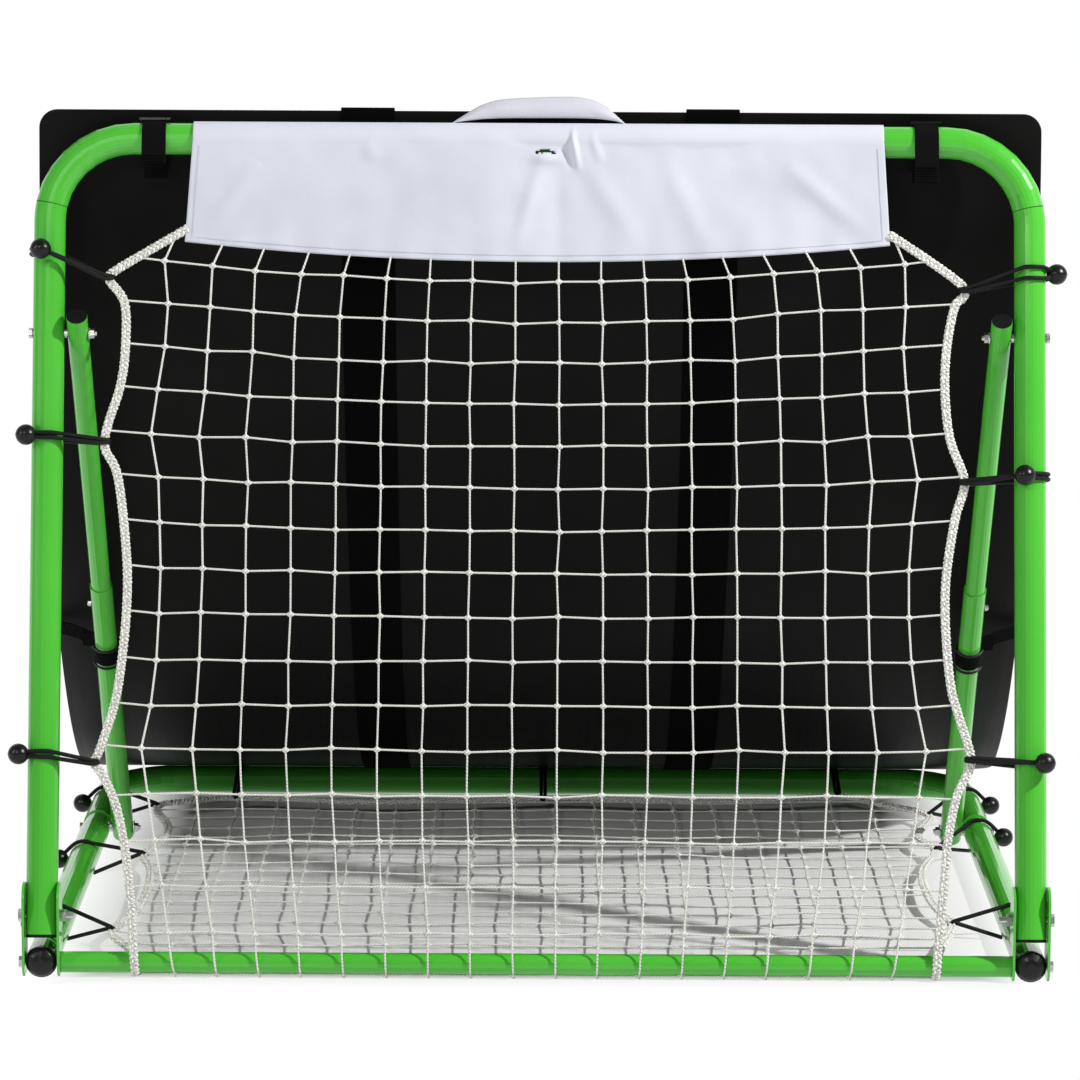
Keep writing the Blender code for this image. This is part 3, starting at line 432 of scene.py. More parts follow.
def webbing(name, dark, light, rib):
    """Ribbed woven band. rib is the scale of its diagonal ribs."""
    band = Surface(name, light, 0.88, Specular_IOR_Level=0.06)
    place = band.coordinates()
    diagonal = band.wave(place, rib, "DIAGONAL", 0.3)
    across = band.wave(place, rib * 1.6, "X", 0.3)
    weave = band.math("ADD", band.math("MULTIPLY", diagonal, 0.6), band.math("MULTIPLY", across, 0.4))
    # The grooves between the ribs are tinted darker than the ribs: painted shade.
    band.tint(weave, dark, light, 0.1, 0.9)
    band.bump(weave, 0.35, 0.0005)
    return band.material


def elastic():
    """Braided black jacket of the elastic ties."""
    jacket = Surface("black_elastic_jacket", (0.004, 0.004, 0.0045), 0.55, Specular_IOR_Level=0.20)
    braid = jacket.math("MAXIMUM", jacket.twist(3, 0.0035), jacket.twist(3, 0.0035, "SUBTRACT"))
    # The braid's grooves are tinted darker than its raised strands: painted shade.
    jacket.tint(jacket.spread(braid, 0.0, 1.0, -1.0, 1.0), (0.0008, 0.0008, 0.001), (0.0060, 0.0060, 0.0065))
    jacket.bump(braid, 0.5, 0.0005)
    return jacket.material


def coated_sheet():
    """Black calendered sheet: soft gloss, fine vertical drag lines and long shallow waves."""
    sheet = Surface("black_coated_sheet", (0.006, 0.006, 0.0065), 0.44, Specular_IOR_Level=0.09)
    place = sheet.coordinates()
    streaks = sheet.coordinates("Object", (260.0, 4.0, 4.0))
    drag = sheet.noise(streaks, 1.0, 4.0, 0.6)
    sheet.tint(sheet.noise(place, 4.0, 5.0, 0.6), (0.0020, 0.0018, 0.0019), (0.0046, 0.0042, 0.0042))
    clouds = sheet.spread(sheet.noise(place, 7.0, 4.0), 0.0, 0.10)
    dulled = sheet.math("ADD", sheet.spread(drag, 0.38, 0.50), clouds)
    sheet.join(dulled, sheet.shader.inputs["Roughness"])
    sheet.bump(drag, 0.05, 0.0006)
    sheet.bump(sheet.noise(place, 2.6, 3.0), 0.20, 0.010)
    return sheet.material


def floor_material():
    """Pale floor that takes the object's shadows and fades into the white backdrop round it."""
    ground = Surface("pale_floor", (0.66, 0.66, 0.65), 0.85, Specular_IOR_Level=0.2)
    place = ground.coordinates()
    ground.tint(ground.noise(place, 1.5, 3.0), (0.640, 0.638, 0.630), (0.680, 0.678, 0.670))
    split = ground.node("ShaderNodeSeparateXYZ")
    ground.join(place, split.inputs["Vector"])
    across = ground.math("SUBTRACT", ground.math("ABSOLUTE", split.outputs["X"]), HALF - 0.115)
    ahead = ground.math("SUBTRACT", ground.math("ABSOLUTE", split.outputs["Y"]), -PIVOT.y - 0.06)
    outside = ground.math("MAXIMUM", across, ahead)
    fade = ground.spread(outside, 0.0, 1.0, 0.0, FLOOR_FADE)
    glow = ground.node("ShaderNodeEmission", Color=(1.0, 1.0, 1.0, 1.0), Strength=1.0)
    blend = ground.node("ShaderNodeMixShader")
    ground.join(fade, blend.inputs["Fac"])
    ground.join(ground.shader.outputs["BSDF"], blend.inputs[1])
    ground.join(glow.outputs["Emission"], blend.inputs[2])
    ground.join(blend.outputs["Shader"], ground.tree.nodes["Material Output"].inputs["Surface"])
    return ground.material


# ---- leaning net --------------------------------------------------------------------------
# Edges of the leaning net as (across, up the legs): pulled out at each tie and drawn in between.
LEFT_EDGE = ((-0.424, 0.826), (-0.470, 0.799), (-0.5125, 0.773), (-0.518, 0.763), (-0.499, 0.734),
             (-0.498, 0.675), (-0.504, 0.632), (-0.5175, 0.589), (-0.521, 0.560), (-0.505, 0.525),
             (-0.4935, 0.430), (-0.493, 0.365), (-0.499, 0.297), (-0.507, 0.249), (-0.524, 0.196),
             (-0.530, 0.182), (-0.520, 0.168), (-0.503, 0.131), (-0.4905, 0.071), (-0.484, 0.012),
             (-0.4805, -0.040), (-0.4790, -0.062), (-0.4785, -0.085))
RIGHT_EDGE = ((0.4200, 0.8235), (0.470, 0.7905), (0.508, 0.762), (0.511, 0.748), (0.4995, 0.735),
              (0.490, 0.685), (0.488, 0.632), (0.494, 0.576), (0.510, 0.533), (0.5105, 0.514),
              (0.500, 0.479), (0.489, 0.406), (0.489, 0.340), (0.495, 0.278), (0.5035, 0.246),
              (0.518, 0.200), (0.5185, 0.183), (0.508, 0.161), (0.500, 0.140), (0.4915, 0.095),
              (0.487, 0.045), (0.482, -0.010), (0.479, -0.045), (0.478, -0.065),
              (0.477, -0.085))
# Half width of the strings' field up the legs.
STRING_FIELD = ((-0.090, 0.4285), (-0.050, 0.4300), (0.020, 0.4430), (0.100, 0.4530), (0.200, 0.4585),
                (0.400, 0.4560), (0.600, 0.4520), (0.712, 0.4480), (0.762, 0.4395), (0.830, 0.4360))
STRING_MIDDLE = -0.0028
# Half width of the net's edges up the legs, with the ties' pull left out.
EDGE_MEAN = ((-0.090, 0.4790), (-0.040, 0.4800), (0.050, 0.4880), (0.200, 0.5030), (0.830, 0.5030))
# How far the strings lean sideways from their first knots up to the hem, by their place across.
TOP_LEAN = ((-0.440, 0.0135), (-0.260, 0.0090), (-0.200, 0.0060), (-0.150, 0.0020), (-0.100, 0.0000),
            (0.100, 0.0000), (0.180, -0.0060), (0.260, -0.0130), (0.440, -0.0140))
NET_WRAP_START = -0.045      # up the legs, where the net leaves their plane to go round the crossbar


def hem_height(x):
    """The sleeve's lower edge, which sags in the middle."""
    return 0.7880 + 0.0215 * (x / 0.42) ** 2


def edge_at(edge, up):
    return between(sorted((u, x) for x, u in edge), up)


def row_height(row):
    """The rows are a little closer together at the top."""
    top, spacing, growth = 0.762, 0.0486, 0.000235
    return top - spacing * row - growth * row * row


def string_x(string, up):
    """Where a string crosses a height: spread evenly, and drawn along by the edges near them."""
    share = -1 + 2 * string / (NET_STRINGS - 1)
    x = STRING_MIDDLE + between(STRING_FIELD, up) * share
    for side, edge in ((-1, LEFT_EDGE), (1, RIGHT_EDGE)):
        pull = edge_at(edge, min(up, 0.77)) - side * between(EDGE_MEAN, up)
        x += pull * EDGE_PULL * math.exp(-abs(share - side) * NET_HALF / EDGE_PULL_REACH)
    return x


def net_lift(x, up):
    """Rows hang from the sagging sleeve near the top and run straight near the ground."""
    share = x / NET_HALF
    return (0.024 * share ** 2 + 0.004 * max(0.0, share)) * clamp((up - 0.30) / 0.48)


def net_place(x, up):
    """A point of the net. Below the legs' hinge line it wraps round the crossbar's front."""
    across = max(0.0, math.cos(x / 0.52 * math.pi / 2))
    belly = -0.004 * across * max(0.0, math.sin((up + 0.03) / 0.83 * math.pi))
    if up >= NET_WRAP_START:
        return leg_point(x, up, NET_FRONT + belly)
    start = leg_point(x, NET_WRAP_START, NET_FRONT)
    reach = NET_WRAP_START - up
    wrap_r = CROSSBAR_R + TWINE_R - 0.0001
    centre = Vector((x, PIVOT.y, CROSSBAR_Z))
    from_angle = math.atan2(start.z - centre.z, start.y - centre.y)
    angle = from_angle + reach / wrap_r * 0.92
    fade = min(1.0, reach / 0.010)
    radius = (start - centre).length * (1 - fade) + wrap_r * fade
    return centre + Vector((0.0, math.cos(angle), math.sin(angle))) * radius


def net_node(string, row):
    """Knot where a string and a row cross, shaken a little out of the even field."""
    up = row_height(row)
    x = string_x(string, up)
    up += net_lift(x, up)
    x += 0.0026 * ripple((string * 0.9, row * 1.1, 0.0), 1.3, 3.0)
    up += 0.0042 * ripple((string * 0.8, row * 1.2, 5.0), 1.7, 9.0)
    return x, up


def stepped(stops, counts):
    """Straight runs from stop to stop, each cut into its count of steps."""
    line = []
    for (x, along), (next_x, next_along), count in zip(stops, stops[1:], counts):
        for i in range(count):
            share = i / count
            line.append((x + (next_x - x) * share, along + (next_along - along) * share))
    return line + [stops[-1]]


def add_braid(strands, path, side_way):
    """The edge rope: a flat three-ply braid along a fine path."""
    lengths = [0.0]
    for a, b in zip(path, path[1:]):
        lengths.append(lengths[-1] + (b - a).length)
    for ply in range(3):
        run = []
        for k, place in enumerate(path):
            tangent = (path[min(k + 1, len(path) - 1)] - path[max(k - 1, 0)]).normalized()
            across = (side_way - tangent * side_way.dot(tangent)).normalized()
            phase = 2 * math.pi * (lengths[k] / BRAID_PITCH + ply / 3)
            lift = tangent.cross(across) * BRAID_PLY_R * 0.95 * math.sin(2 * phase)
            run.append(place + across * BRAID_HALF * math.sin(phase) + lift)
        strands.strand(run, BRAID_PLY_R)


def add_edge_rope(strands, edge, place_at, side_way):
    """The braid along an edge given as (across, along) points."""
    curve = smooth_through([Vector((x, along, 0.0)) for x, along in edge], 8)
    add_braid(strands, even_path([place_at(p.x, p.y) for p in curve], 0.0024), side_way)


def add_knot(strands, place, string_way):
    strands.bead(place, X_AXIS, KNOT_R, 0.0044)
    strands.bead(place, string_way, KNOT_R * 0.92, 0.0040)


def even_path(points, step):
    """The same line with points an even step apart."""
    path = [points[0]]
    left = step
    for a, b in zip(points, points[1:]):
        run = (b - a).length
        while run >= left:
            a = a + (b - a).normalized() * left
            path.append(a)
            run = (b - a).length
            left = step
        left -= run
    return path


def string_top(x):
    """Where a string that leaves its first knot at x meets the hem or the edge rope."""
    top_x = x + between(TOP_LEAN, x)
    return top_x, hem_height(top_x) + 0.002 if abs(top_x) < 0.418 else edge_top(top_x)


def row_ends(first_up, last_up, row):
    """Where a row meets the edge ropes, a touch above or below its outer knots."""
    shift = 0.004 if row < 12 else -0.002
    ends = []
    for edge, up in ((LEFT_EDGE, first_up + shift), (RIGHT_EDGE, last_up + shift)):
        ends.append((edge_at(edge, clamp(up, -0.08, 0.80)), up))
    return ends


def build_leaning_net(material):
    strands = Strands()
    knots = {(s, r): net_node(s, r) for s in range(NET_STRINGS) for r in range(NET_ROWS)}
    for s in range(NET_STRINGS):
        column = [knots[(s, r)] for r in range(NET_ROWS)]
        line = stepped([string_top(column[0][0])] + column, [3] + [4] * (NET_ROWS - 1))
        strands.strand([net_place(*p) for p in line], TWINE_R)
    for r in range(NET_ROWS):
        row = [knots[(s, r)] for s in range(NET_STRINGS)]
        left, right = row_ends(row[0][1], row[-1][1], r)
        line = stepped([left] + row + [right], [3] * (NET_STRINGS + 1))
        strands.strand([net_place(*p) for p in line], TWINE_R)
    for knot in knots.values():
        add_knot(strands, net_place(*knot), UP_LEG)
    for edge in (LEFT_EDGE, RIGHT_EDGE):
        add_edge_rope(strands, edge, net_place, X_AXIS)
    net = strands.build("leaning_net", [material])
    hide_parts("rebound_net")
    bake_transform(net)


def edge_top(x):
    """Height of the edge rope's sloping top run, from the sleeve's corner to the first tie."""
    edge = LEFT_EDGE if x < 0 else RIGHT_EDGE
    return between(sorted((abs(a), b) for a, b in edge[:3]), abs(x))


# ---- ground net ---------------------------------------------------------------------------
# Edges of the ground net as (across, back from the hinge line).
GROUND_LEFT = ((-0.479, 0.000), (-0.492, 0.060), (-0.519, 0.140), (-0.500, 0.235), (-0.493, 0.370),
               (-0.501, 0.500), (-0.514, 0.570), (-0.498, 0.650), (-0.495, 0.740), (-0.519, 0.866),
               (-0.470, 0.895), (-0.4165, 0.9235))
GROUND_RIGHT = ((0.479, 0.000), (0.490, 0.080), (0.515, 0.212), (0.497, 0.330), (0.498, 0.480),
                (0.525, 0.610), (0.508, 0.700), (0.533, 0.826), (0.480, 0.885), (0.4165, 0.9440))
GROUND_REAR = ((-0.4165, 0.9235), (-0.300, 0.905), (-0.140, 0.908), (0.0083, 0.934), (0.150, 0.915),
               (0.300, 0.918), (0.4165, 0.9440))


def ground_node(string, row):
    """Knot of the ground net, which widens behind the crossbar."""
    back = 0.030 + 0.0545 * row
    share = -1 + 2 * string / (NET_STRINGS - 1)
    half = 0.430 + 0.030 * min(1.0, back / 0.25)
    x = STRING_MIDDLE + half * share
    x += 0.0040 * ripple((string * 0.9, row, 2.0), 0.9, 4.0)
    back += 0.0060 * ripple((string * 0.7, row, 8.0), 0.8, 6.0)
    return x, back


def ground_place(x, back):
    """The ground net rises from under the crossbar and hangs just clear of the floor."""
    front_z = 0.0020
    share = clamp(back / 0.045)
    z = front_z + (GROUND_Z - front_z) * share * share * (3 - 2 * share)
    sag = 0.0050 * ripple((x, back, 0.0), 7.0, 2.0)
    return floor_point(x, back, z + sag * min(1.0, back / 0.10))


def rear_edge(x):
    return between(GROUND_REAR, clamp(x, -0.4165, 0.4165))


def before_rear_edge(knot):
    return knot[1] <= rear_edge(knot[0]) - REAR_MARGIN


def add_ground_strings(strands, knots):
    for s in range(NET_STRINGS):
        column = []
        for r in range(GROUND_ROWS):
            if not before_rear_edge(knots[(s, r)]):
                break
            column.append(knots[(s, r)])
        last_x = column[-1][0]
        stops = [(string_x(s, -0.05), 0.0)] + column + [(last_x, rear_edge(last_x))]
        line = stepped(stops, [5] + [4] * (len(column) - 1) + [3])
        strands.strand([ground_place(*p) for p in line], TWINE_R)


def add_ground_rows(strands, knots):
    """Rows of the ground net from edge to edge, with their knots."""
    left = sorted((back, x) for x, back in GROUND_LEFT)
    right = sorted((back, x) for x, back in GROUND_RIGHT)
    for r in range(GROUND_ROWS):
        row = [knots[(s, r)] for s in range(NET_STRINGS) if before_rear_edge(knots[(s, r)])]
        if not row:
            continue
        first = (between(left, row[0][1]), row[0][1])
        last = (between(right, row[-1][1]), row[-1][1])
        line = stepped([first] + row + [last], [3] * (len(row) + 1))
        strands.strand([ground_place(*p) for p in line], TWINE_R)
        for knot in row:
            add_knot(strands, ground_place(*knot), Y_AXIS)


def build_ground_net(material):
    strands = Strands()
    knots = {(s, r): ground_node(s, r) for s in range(NET_STRINGS) for r in range(GROUND_ROWS)}
    add_ground_strings(strands, knots)
    add_ground_rows(strands, knots)
    for edge, side_way in ((GROUND_LEFT, X_AXIS), (GROUND_RIGHT, X_AXIS), (GROUND_REAR, Y_AXIS)):
        add_edge_rope(strands, edge, ground_place, side_way)
    net = strands.build("floor_net", [material])
    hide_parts("ground_net")
    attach(net, "base")


# ---- elastic ties -------------------------------------------------------------------------
# Height on the leg of the ball, how far it is turned round the leg from the net's side towards
# the front (degrees), where the loop holds the net's edge (across, up), and half the space between
# its two strands on the leg.
LEG_TIES = {
    "l": ((0.797, 104, 0.520, 0.766, 0.0029), (0.574, 137, 0.523, 0.568, 0.0030),
          (0.192, 153, 0.532, 0.183, 0.0036)),
    "r": ((0.776, 180, 0.513, 0.756, 0.0068), (0.531, 74, 0.513, 0.524, 0.0030),
          (0.187, 117, 0.520, 0.191, 0.0040)),
}
# Ball's place along the side tube and where the loop holds the ground net (across, back).
SIDE_TIES = {
    "l": ((0.185, 0.521, 0.142), (0.543, 0.516, 0.568), (0.885, 0.521, 0.864)),
    "r": ((0.215, 0.517, 0.211), (0.700, 0.527, 0.608), (0.900, 0.535, 0.824)),
}
REAR_TIES = (("left", -0.4155, 0.9235), ("middle", 0.0085, 0.934), ("right", 0.4155, 0.944))
WRAP_R = TUBE_R + ELASTIC_R + 0.0004
UNDER_SLIDE = -0.015         # along the tube, from the ball to where the lower strand comes out
STRAND_SHIFT = 0.0027        # of a loop's two strands, to either side of its middle
LAND_ANGLE = 47              # turned round the tube before a strand from the ball lies on it
SHORTEST_WRAP = 55           # a strand that turns by less goes straight from the ball
WRAP_STEP = 12
LEAVE_FRONT = 70             # where the strands leave a leg for the net, before and behind it
LEAVE_BACK = 290
LEAVE_FLOOR_TUBE = 62


def turned(net_way, front_way, angle):
    """The direction turned by an angle in degrees from the net's side towards the front."""
    turn = math.radians(angle)
    return net_way * math.cos(turn) + front_way * math.sin(turn)


def round_tube(centre, net_way, front_way, start, stop):
    """Points on a tube from where a strand from the ball lands on it to where it leaves it."""
    reach = abs(stop - start)
    if reach < SHORTEST_WRAP:
        return []
    direction = 1 if stop > start else -1
    count = max(2, round((reach - LAND_ANGLE) / WRAP_STEP))
    points = []
    for i in range(count + 1):
        angle = start + direction * (LAND_ANGLE + (reach - LAND_ANGLE) * i / count)
        points.append(centre + turned(net_way, front_way, angle) * WRAP_R)
    return points


def spaced(first, last, count):
    return [first.lerp(last, i / count) for i in range(count + 1)]


def leg_strand(ball, hook, front, back, front_way, net_way, slide):
    """One strand of a leg tie: from the ball round the leg's front, the net's edge and the leg's back."""
    shift = UP_LEG * slide
    in_front = hook + front_way * 0.0062 + shift * 0.8 - net_way * 0.002
    at_back = hook - front_way * 0.0062 + shift * 0.8 - net_way * 0.002
    turn = [hook + net_way * 0.0048 + front_way * 0.0042 + shift * 0.5,
            hook + net_way * 0.0068 + shift * 0.5,
            hook + net_way * 0.0048 - front_way * 0.0042 + shift * 0.5]
    start = front[-1] if front else ball
    finish = back[-1] if back else ball
    path = [ball + shift * 0.7] + front + spaced(start, in_front, 6)[1:] + turn
    path += spaced(at_back, finish, 6)[:-1] + back[::-1] + [ball + shift * 0.7]
    return even_path(path, PATH_STEP)


def build_leg_tie(tag, number, ball_up, angle, net_x, net_up, spread, materials):
    """Elastic loop from its ball round both sides of a leg and round the net's edge rope."""
    side = -1 if tag == "l" else 1
    net_way = X_AXIS * -side
    front_way = -BEHIND_LEG
    centre = leg_point(side * HALF, ball_up)
    ball = centre + turned(net_way, front_way, angle) * BALL_STANDOFF
    hook = leg_point(side * net_x, net_up, NET_FRONT)
    strands = Strands()
    for way in (-1, 1):
        apart = centre + UP_LEG * spread * way
        front = round_tube(apart, net_way, front_way, angle, LEAVE_FRONT)
        back = round_tube(apart, net_way, front_way, angle, LEAVE_BACK)
        path = leg_strand(ball, hook, front, back, front_way, net_way, STRAND_SHIFT * way)
        strands.strand(path, ELASTIC_R, 8)
    strands.ball(ball, UP_LEG, BALL_R, 1)
    tie = strands.build("bungee_leg_%s_%d" % (tag, number), materials)
    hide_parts("leg_tie_%s_%d" % (tag, number))
    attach(tie, "net_frame")


def build_floor_tie(name, node, centre, net_way, along, hook, materials, under):
    """Elastic loop from a ball outside a floor tube to the ground net's edge: two strands over the
    tube or, with under, one over it and one that comes out from under it."""
    ball = centre + turned(net_way, Z_AXIS, FLOOR_BALL_ANGLE) * BALL_STANDOFF
    over = round_tube(centre, net_way, Z_AXIS, FLOOR_BALL_ANGLE, LEAVE_FLOOR_TUBE)
    beside_tube = net_way * 2 * math.sqrt(TUBE_R * ELASTIC_R)
    on_floor = Vector((centre.x, centre.y, ELASTIC_R)) + beside_tube + along * UNDER_SLIDE
    strands = Strands()
    for way in (-1, 1):
        shift = along * way * STRAND_SHIFT
        path = [ball + shift * 0.7] + [place + shift for place in over]
        if under and way < 0:
            path = [on_floor]
        path += spaced(path[-1], hook + Z_AXIS * 0.0045 + shift, 8)[1:]
        path += [hook + net_way * 0.0060 + shift * 0.5, hook - Z_AXIS * 0.0020 + net_way * 0.004]
        strands.strand(even_path(path, PATH_STEP), ELASTIC_R, 8)
    strands.ball(ball, along, BALL_R, 1)
    tie = strands.build(name, materials)
    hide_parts(node)
    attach(tie, "base")


def build_ties(materials):
    for tag, side in SIDES:
        for number, facts in enumerate(LEG_TIES[tag], 1):
            build_leg_tie(tag, number, *facts, materials)
        for number, (ball_back, net_x, net_back) in enumerate(SIDE_TIES[tag], 1):
            place = "%s_%d" % (tag, number)
            build_floor_tie("bungee_side__tie_" + place, "side_tie_" + place,
                            floor_point(side * HALF, ball_back, TUBE_Z), X_AXIS * -side, Y_AXIS,
                            ground_place(side * net_x, net_back), materials, True)
    for tag, x, back in REAR_TIES:
        build_floor_tie("bungee_rear_" + tag, "rear_tie_" + tag, Vector((x, REAR_Y, TUBE_Z)),
                        -Y_AXIS, X_AXIS, ground_place(x, back), materials, False)


# ---- canvas sleeve and handle -------------------------------------------------------------
SLEEVE_TOP_EDGES = (-0.418, 0.4135)
SLEEVE_LOW_EDGES = (-0.4276, 0.4220)
SLEEVE_R = TUBE_R + 0.0016
FRONT_STEPS = 72
ROUND_STEPS = 16
BACK_STEPS = 12
SLEEVE_COLUMNS = 480
SLEEVE_GAP = 0.0014          # half the space between its two layers at the hem
SINK = -0.0004               # how far a crease may go in where the canvas lies on the bar
PUCKER_PITCH = 0.0517
SLIT_X = 0.006
SLIT_UP = 0.9180
HEM_STITCH_RUN = 0.052       # share of the way up the front, where the hem is sewn
HEM_STITCHES = 190
SIDE_STITCHES = 36
STITCH_R = 0.00042


def fold(x, up, start, end, width, height):
    """A soft straight fold from start to end, both (across, up)."""
    run = Vector((end[0] - start[0], end[1] - start[1]))
    away = Vector((x - start[0], up - start[1]))
    share = clamp(away.dot(run) / run.length_squared)
    return height * bell((away - run * share).length, width) * max(0.0, math.sin(math.pi * share)) ** 0.6


# Folds of the canvas: where each starts and ends (across, up), its width and its height.
SLEEVE_FOLDS = (
    ((0.004, 0.918), (-0.030, 0.800), 0.0100, 0.0028),
    ((0.020, 0.908), (0.022, 0.800), 0.0120, -0.0018),
    ((0.038, 0.930), (0.125, 0.800), 0.0160, 0.0028),
    ((-0.012, 0.930), (-0.095, 0.950), 0.0050, -0.0016),
    ((-0.405, 0.815), (-0.345, 0.905), 0.0110, 0.0026),
    ((-0.412, 0.802), (-0.300, 0.812), 0.0065, 0.0022),
    ((0.205, 0.800), (0.150, 0.915), 0.0140, 0.0020),
    ((0.395, 0.822), (0.300, 0.905), 0.0120, 0.0026),
    ((0.404, 0.805), (0.290, 0.800), 0.0065, 0.0022),
    ((0.060, 0.945), (0.075, 0.905), 0.0060, 0.0020),
    ((-0.200, 0.905), (-0.215, 0.930), 0.0110, 0.0018),
)


def sleeve_crease(x, up):
    """How far the canvas stands proud: soft folds, puckers over the net's strings, and a pleat."""
    proud = 0.0028 * ripple((x, up * 1.3, 0.0), 9.0, 1.0) + 0.0013 * ripple((x, up, 0.0), 26.0, 2.0)
    pucker = math.cos(2 * math.pi * (x - STRING_MIDDLE) / PUCKER_PITCH)
    proud += 0.0020 * pucker * math.exp((hem_height(x) - up) / 0.016)
    from_pleat = x - 0.0345 - (0.955 - up) * 0.21
    rise = clamp((up - 0.895) / 0.03)
    proud += (0.0060 * bell(from_pleat, 0.0040) - 0.0034 * bell(from_pleat + 0.009, 0.005)) * rise
    proud += 0.0035 * bell(x - SLIT_X, 0.016) * bell(up - 0.911, 0.007)
    for start, end, width, height in SLEEVE_FOLDS:
        proud += fold(x, up, start, end, width, height)
    return proud


def across_sleeve(edges, share):
    return edges[0] + (edges[1] - edges[0]) * share


def sleeve_place(x_share, run):
    """A point of the sleeve. run is 0 to 1 up the front, 1 to 2 over the bar, 2 to 3 down the back."""
    low_x = across_sleeve(SLEEVE_LOW_EDGES, x_share)
    hem = hem_height(low_x)
    open_angle = math.acos(SLEEVE_R / (LEG_LENGTH - hem))
    touch_up = LEG_LENGTH - SLEEVE_R * math.cos(open_angle)
    slope = SLEEVE_R * math.sin(open_angle) - SLEEVE_GAP
    if run <= 1:
        up = hem + (touch_up - hem) * run
        proud = sleeve_crease(low_x, up) * math.sin(0.5 * math.pi * min(1.0, 0.12 + run * 1.8)) ** 0.5
        behind = -SLEEVE_GAP - slope * run - max(proud, SINK - 0.03 * (1 - run))
    elif run <= 2:
        angle = open_angle + 2 * (math.pi - open_angle) * (run - 1)
        proud = max(sleeve_crease(low_x, touch_up), SINK) * max(0.0, 1 - 3 * (run - 1)) ** 2
        up = LEG_LENGTH - (SLEEVE_R + proud) * math.cos(angle)
        behind = -(SLEEVE_R + proud) * math.sin(angle)
    else:
        share = 3 - run
        up = hem + (touch_up - hem) * share
        behind = SLEEVE_GAP + (slope + 0.0015 * ripple((low_x, up, 3.0), 9.0, 5.0)) * share
    rise = clamp((up - hem) / (touch_up - hem))
    top_x = across_sleeve(SLEEVE_TOP_EDGES, x_share)
    return leg_point(low_x + (top_x - low_x) * rise, up, behind)


def add_stitch(stitches, first, last, height):
    """One stitch over the canvas, its middle height above its ends."""
    proud = -BEHIND_LEG * 0.0008
    middle = first.lerp(last, 0.5) - BEHIND_LEG * height
    stitches.strand([first + proud, middle + proud, last + proud], STITCH_R, 5)


def build_stitching(thread):
    stitches = Strands()
    for c in range(3, HEM_STITCHES - 2):
        ends = [sleeve_place((c + share) / HEM_STITCHES, HEM_STITCH_RUN) for share in (0.18, 0.82)]
        add_stitch(stitches, *ends, 0.0003)
    for edge in (0.010, 0.990):
        for k in range(2, SIDE_STITCHES - 2):
            ends = [sleeve_place(edge, (k + share) / SIDE_STITCHES) for share in (0.2, 0.8)]
            add_stitch(stitches, *ends, 0.0003)
    seam = stitches.build("sleeve_stitching", [thread])
    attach(seam, "net_frame")
    return seam


def build_sleeve(material, thread):
    runs = [i / FRONT_STEPS for i in range(FRONT_STEPS)]
    runs += [1 + i / ROUND_STEPS for i in range(ROUND_STEPS)]
    runs += [2 + i / BACK_STEPS for i in range(BACK_STEPS + 1)]
    shares = [c / SLEEVE_COLUMNS for c in range(SLEEVE_COLUMNS + 1)]
    rows = [[sleeve_place(share, run) for share in shares] for run in runs]
    sleeve = surface_grid("canvas_sleeve", rows, material, 0.0011, slit_cells(rows))
    seam = build_stitching(thread)
    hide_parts("top_sleeve")
    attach(sleeve, "net_frame")


def slit_cells(rows):
    """Cells left out of the sleeve's front where a small tear shows the bar."""
    holes = set()
    for r in range(FRONT_STEPS - 1):
        for c in range(SLEEVE_COLUMNS):
            centre = (rows[r][c] + rows[r + 1][c + 1]) / 2
            up = (centre - PIVOT).dot(UP_LEG)
            arch = 0.0022 * math.cos((centre.x - SLIT_X) / 0.011 * math.pi / 2)
            dx = (centre.x - SLIT_X) / 0.0125
            dz = (up - SLIT_UP - arch) / (0.0024 + 0.0006 * math.sin(centre.x * 900))
            if dx * dx + dz * dz < 1.0:
                holes.add((r, c))
    return holes


# The handle's top line as (across, up the legs).
HANDLE_OUTLINE = ((-0.108, 0.9545), (-0.085, 0.9695), (-0.068, 0.9785), (-0.045, 0.9845), (0.000, 0.9873),
                  (0.040, 0.9880), (0.063, 0.9840), (0.078, 0.9765), (0.092, 0.9650), (0.103, 0.9545))
HANDLE_LOW = 0.9535
HANDLE_STEPS = 10


def build_handle(material):
    """Carry handle: a webbing band that arches above the sleeve, its ends tucked under it."""
    outer = smooth_through([Vector((x, up, 0.0)) for x, up in HANDLE_OUTLINE], 7)
    rows = []
    for k, point in enumerate(outer):
        arch = math.sin(math.pi * k / (len(outer) - 1)) ** 0.45
        low = HANDLE_LOW + 0.0088 * arch
        row = []
        for i in range(HANDLE_STEPS + 1):
            t = i / HANDLE_STEPS
            up = low + (point.y - low) * t
            behind = 0.001 - 0.0060 * math.sin(math.pi * t) * arch - 0.006 * (1 - t)
            behind += 0.0008 * ripple((point.x, up, 0.0), 60.0, 6.0)
            row.append(leg_point(point.x * (0.985 + 0.015 * t), up, behind))
        rows.append(row)
    handle = surface_grid("handle_webbing", rows, material, 0.0020)
    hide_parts("carry_handle")
    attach(handle, "net_frame")


# ---- return sheet and straps --------------------------------------------------------------
PANEL_TOP_HALF = 0.607
PANEL_LOW_HALF = 0.632
PANEL_TOP_CORNER = 0.022
PANEL_LOW_CORNER = 0.075
PANEL_THICKNESS = 0.003
PANEL_COLUMNS = 60
PANEL_ROWS = 90
CORNER_STEPS = 9
SHEET_ON_BAR = TUBE_R + 0.0013      # middle of the sheet above the rear bar's centre line
SHEET_TOP_BEHIND = 0.0275    # the sheet's top edge behind and above the top bar's centre
SHEET_TOP_ABOVE = 0.033
# The sagging curve's two inner control points, as shares of its depth and of its drop.
SAG = ((0.040, 0.511), (0.522, 0.913))
STRIP_X = 0.209
STRIP_WIDTH = 0.065
STRIP_STEPS = 110


